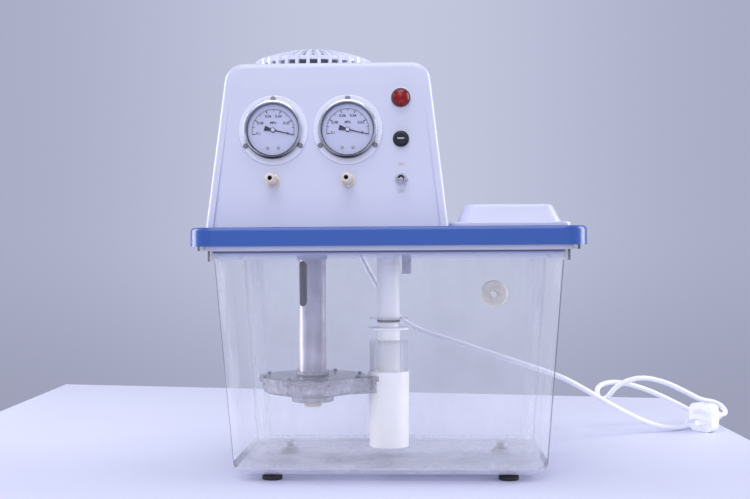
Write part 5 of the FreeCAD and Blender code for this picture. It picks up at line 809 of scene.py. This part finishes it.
def slot_highlight():
    """A painted highlight: a pale bar in the cap's slot, a little behind its face."""
    low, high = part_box("fuse_cap")
    middle = ((low[0] + high[0]) / 2, low[1] + SLOT_BACK, (low[2] + high[2]) / 2)
    work = bmesh.new()
    # painted highlight: the pale bar in the fuse slot stands in for the slot's highlight
    bar(work, panel_place(middle, 0, -SLOT_LENGTH / 2), SLOT_LENGTH, SLOT_WIDTH, HIGHLIGHT_THICKNESS)
    new_piece("fuse_slot_paint", work, bright_white, "fuse_insert")


switch_words()
slot_highlight()
print("ON and OFF by the switch, paint in the fuse slot")

# %% [markdown]
# The mains lead leaves the hood's back through a tapered gland, hangs down behind the tank to the
# table on the right, makes two springy loops that stand a little off the table, and ends in its plug.
# It is one smooth curve through its chosen points, with the lead's real thickness.

# %% Mains lead
LEAD_THICKNESS = 0.0066
LEAD_ROUTE = [
    (-0.06, 0.1403, 0.277), (-0.06, 0.157, 0.276), (-0.057, 0.171, 0.262), (-0.0453, 0.174, 0.2344),
    (-0.0313, 0.172, 0.2064), (-0.0123, 0.17, 0.1754), (0.0067, 0.17, 0.15), (0.0317, 0.17, 0.1363),
    (0.0657, 0.17, 0.1263), (0.1158, 0.169, 0.1094), (0.1677, 0.17, 0.0922), (0.2038, 0.174, 0.0797),
    (0.2371, 0.19, 0.0604), (0.2624, 0.208, 0.0445), (0.2901, 0.228, 0.0285), (0.3204, 0.248, 0.0125),
    (0.3465, 0.2559, 0.005), (0.368, 0.272, 0.0035), (0.398, 0.3, 0.0036), (0.41, 0.318, 0.008),
    (0.4035, 0.332, 0.0117), (0.3829, 0.336, 0.0227), (0.3537, 0.33, 0.0377), (0.327, 0.322, 0.0494),
    (0.2975, 0.312, 0.0582), (0.2777, 0.303, 0.0595), (0.2614, 0.29, 0.055), (0.2594, 0.27, 0.0428),
    (0.2685, 0.256, 0.0412), (0.2828, 0.256, 0.0613), (0.314, 0.266, 0.0706), (0.3475, 0.278, 0.0628),
    (0.3767, 0.288, 0.0485), (0.3987, 0.296, 0.0363), (0.4194, 0.301, 0.0331), (0.4304, 0.298, 0.0242),
    (0.4282, 0.2859, 0.0184), (0.4186, 0.2787, 0.0184),
]


def lead():
    curve = bpy.data.curves.new("mains_lead", "CURVE")
    curve.dimensions = "3D"
    curve.bevel_depth = LEAD_THICKNESS / 2
    curve.bevel_resolution = 6
    curve.use_fill_caps = True
    spline = curve.splines.new("NURBS")
    spline.points.add(len(LEAD_ROUTE) - 1)
    for point, place_of in zip(spline.points, LEAD_ROUTE):
        point.co = (*place_of, 1)
    spline.order_u = 3
    spline.use_endpoint_u = True
    spline.resolution_u = 8
    curve.materials.append(lead_white)
    piece = bpy.data.objects.new("mains_lead", curve)
    bpy.context.scene.collection.objects.link(piece)
    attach(piece, "cabinet")
    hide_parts("power_cord")


lead()
print("the lead follows", len(LEAD_ROUTE), "points")

# %% [markdown]
# The pump stands on a plain pale table top that ends a little way behind it, against a plain wall of
# cool grey light, because both show through the clear tank.

# %% Table
TABLE_CORNERS = [(-0.56, -0.75), (0.472, -0.75), (0.417, 0.62), (-0.612, 0.835)]
TABLE_THICKNESS = 0.03

table_top = bmesh.new()
outline = [table_top.verts.new((x, y, 0)) for x, y in TABLE_CORNERS]
slab = bmesh.ops.extrude_face_region(table_top, geom=[table_top.faces.new(outline)])
bmesh.ops.translate(table_top, vec=(0, 0, -TABLE_THICKNESS),
                    verts=[vert for vert in slab["geom"] if isinstance(vert, bmesh.types.BMVert)])
bmesh.ops.recalc_face_normals(table_top, faces=table_top.faces)
table_mesh = bpy.data.meshes.new("table")
table_top.to_mesh(table_mesh)
table_top.free()
table_mesh.materials.append(moulded("table_white", (0.72, 0.735, 0.93), 0.5, 0.00001))
table = bpy.data.objects.new("table", table_mesh)
bpy.context.scene.collection.objects.link(table)
print("table", TABLE_CORNERS)

# %% [markdown]
# Soft panels light the pump from above, from above in front and from low in front, and a tall one
# stands on each side a little behind it. The tall ones draw the bright line down both edges of the
# hood. The low front panel is kept out of mirrored light, so that it leaves no patch on gloss.

# %% Lamps
MIDDLE = (0, 0, 0.25)
SOFT_PANELS = [
    ("front_light", (-0.3, -2.0, 1.9), 1.8, 1.2, 15, True),
    ("low_front_light", (0.2, -2.3, 0.42), 2.2, 0.8, 14, False),
    ("left_light", (-1.7, 0.35, 0.7), 0.9, 1.6, 22, True),
    ("right_light", (1.7, 0.35, 0.7), 0.9, 1.6, 22, True),
    ("top_light", (0, -0.4, 2.2), 1.6, 1.2, 14, True),
]


def soft_panel(name, place_of, width, height, power, mirrored):
    """A flat lamp of a width and height in metres and a power in watts, turned to the pump."""
    lamp = bpy.data.lights.new(name, "AREA")
    lamp.shape = "RECTANGLE"
    lamp.size = width
    lamp.size_y = height
    lamp.energy = power
    holder = bpy.data.objects.new(name, lamp)
    holder.visible_glossy = mirrored
    holder.location = place_of
    holder.rotation_euler = (Vector(MIDDLE) - Vector(place_of)).to_track_quat("-Z", "Y").to_euler()
    bpy.context.scene.collection.objects.link(holder)


for panel in SOFT_PANELS:
    soft_panel(*panel)
print(len(SOFT_PANELS), "soft panels")

# %% [markdown]
# The world gives a plain cool fill. The camera, clear plastic and gloss see a wall instead: it glows
# behind the pump, fades to both sides, and is darker below the table's edge.

# %% World
WALL_GLOW = (0.54, 0.57, 0.73)
WALL_LIGHT = (0.40, 0.42, 0.57)
WALL_SHADE = (0.34, 0.355, 0.48)
GLOW_SPREAD = (0.02, 0.30)
WALL_RISE = (-0.13, 0.02)
FILL = (0.80, 0.83, 1.0)
FILL_STRENGTH = 0.40

world = bpy.data.worlds.new("world")
bpy.context.scene.world = world
world.use_nodes = True
world_nodes = world.node_tree.nodes
world_links = world.node_tree.links


def world_math(operation, first, second=0.0):
    made = world_nodes.new("ShaderNodeMath")
    made.operation = operation
    for socket, value in zip(made.inputs, (first, second)):
        if isinstance(value, float):
            socket.default_value = value
        else:
            world_links.new(value, socket)
    return made.outputs["Value"]


def world_range(source, start, end, low=0.0, high=1.0):
    made = world_nodes.new("ShaderNodeMapRange")
    made.interpolation_type = "SMOOTHSTEP"
    for socket, value in (("From Min", start), ("From Max", end), ("To Min", low), ("To Max", high)):
        made.inputs[socket].default_value = value
    world_links.new(source, made.inputs["Value"])
    return made.outputs["Result"]


def world_mix(factor, first, second):
    made = world_nodes.new("ShaderNodeMix")
    made.data_type = "RGBA"
    world_links.new(factor, made.inputs["Factor"])
    for socket, color in (("A", first), ("B", second)):
        if isinstance(color, tuple):
            made.inputs[socket].default_value = (*color, 1)
        else:
            world_links.new(color, made.inputs[socket])
    return made.outputs["Result"]


def wall_color():
    """The wall's colour by the direction in which it is seen."""
    direction = world_nodes.new("ShaderNodeTexCoord")
    apart = world_nodes.new("ShaderNodeSeparateXYZ")
    world_links.new(direction.outputs["Generated"], apart.inputs["Vector"])
    away = world_math("ABSOLUTE", world_math("ADD", apart.outputs["X"], -ahead.x))
    glow = world_range(away, *GLOW_SPREAD, 1.0, 0.0)
    low_wall = world_mix(glow, WALL_SHADE, WALL_LIGHT)
    lit_wall = world_mix(glow, WALL_LIGHT, WALL_GLOW)
    return world_mix(world_range(apart.outputs["Z"], *WALL_RISE), low_wall, lit_wall)


def seen_rays():
    """1 for the rays that see the wall: straight ones, those through clear plastic, and mirrored ones."""
    path = world_nodes.new("ShaderNodeLightPath")
    straight = world_math("MAXIMUM", path.outputs["Is Camera Ray"], path.outputs["Is Transmission Ray"])
    return world_math("MAXIMUM", straight, path.outputs["Is Glossy Ray"])


fill = world_nodes["Background"]
fill.inputs["Color"].default_value = (*FILL, 1)
fill.inputs["Strength"].default_value = FILL_STRENGTH
wall = world_nodes.new("ShaderNodeBackground")
wall.inputs["Strength"].default_value = 1.0
world_links.new(wall_color(), wall.inputs["Color"])
choose = world_nodes.new("ShaderNodeMixShader")
world_links.new(seen_rays(), choose.inputs["Fac"])
world_links.new(fill.outputs["Background"], choose.inputs[1])
world_links.new(wall.outputs["Background"], choose.inputs[2])
world_links.new(choose.outputs["Shader"], world_nodes["World Output"].inputs["Surface"])
print("a plain fill and a wall")
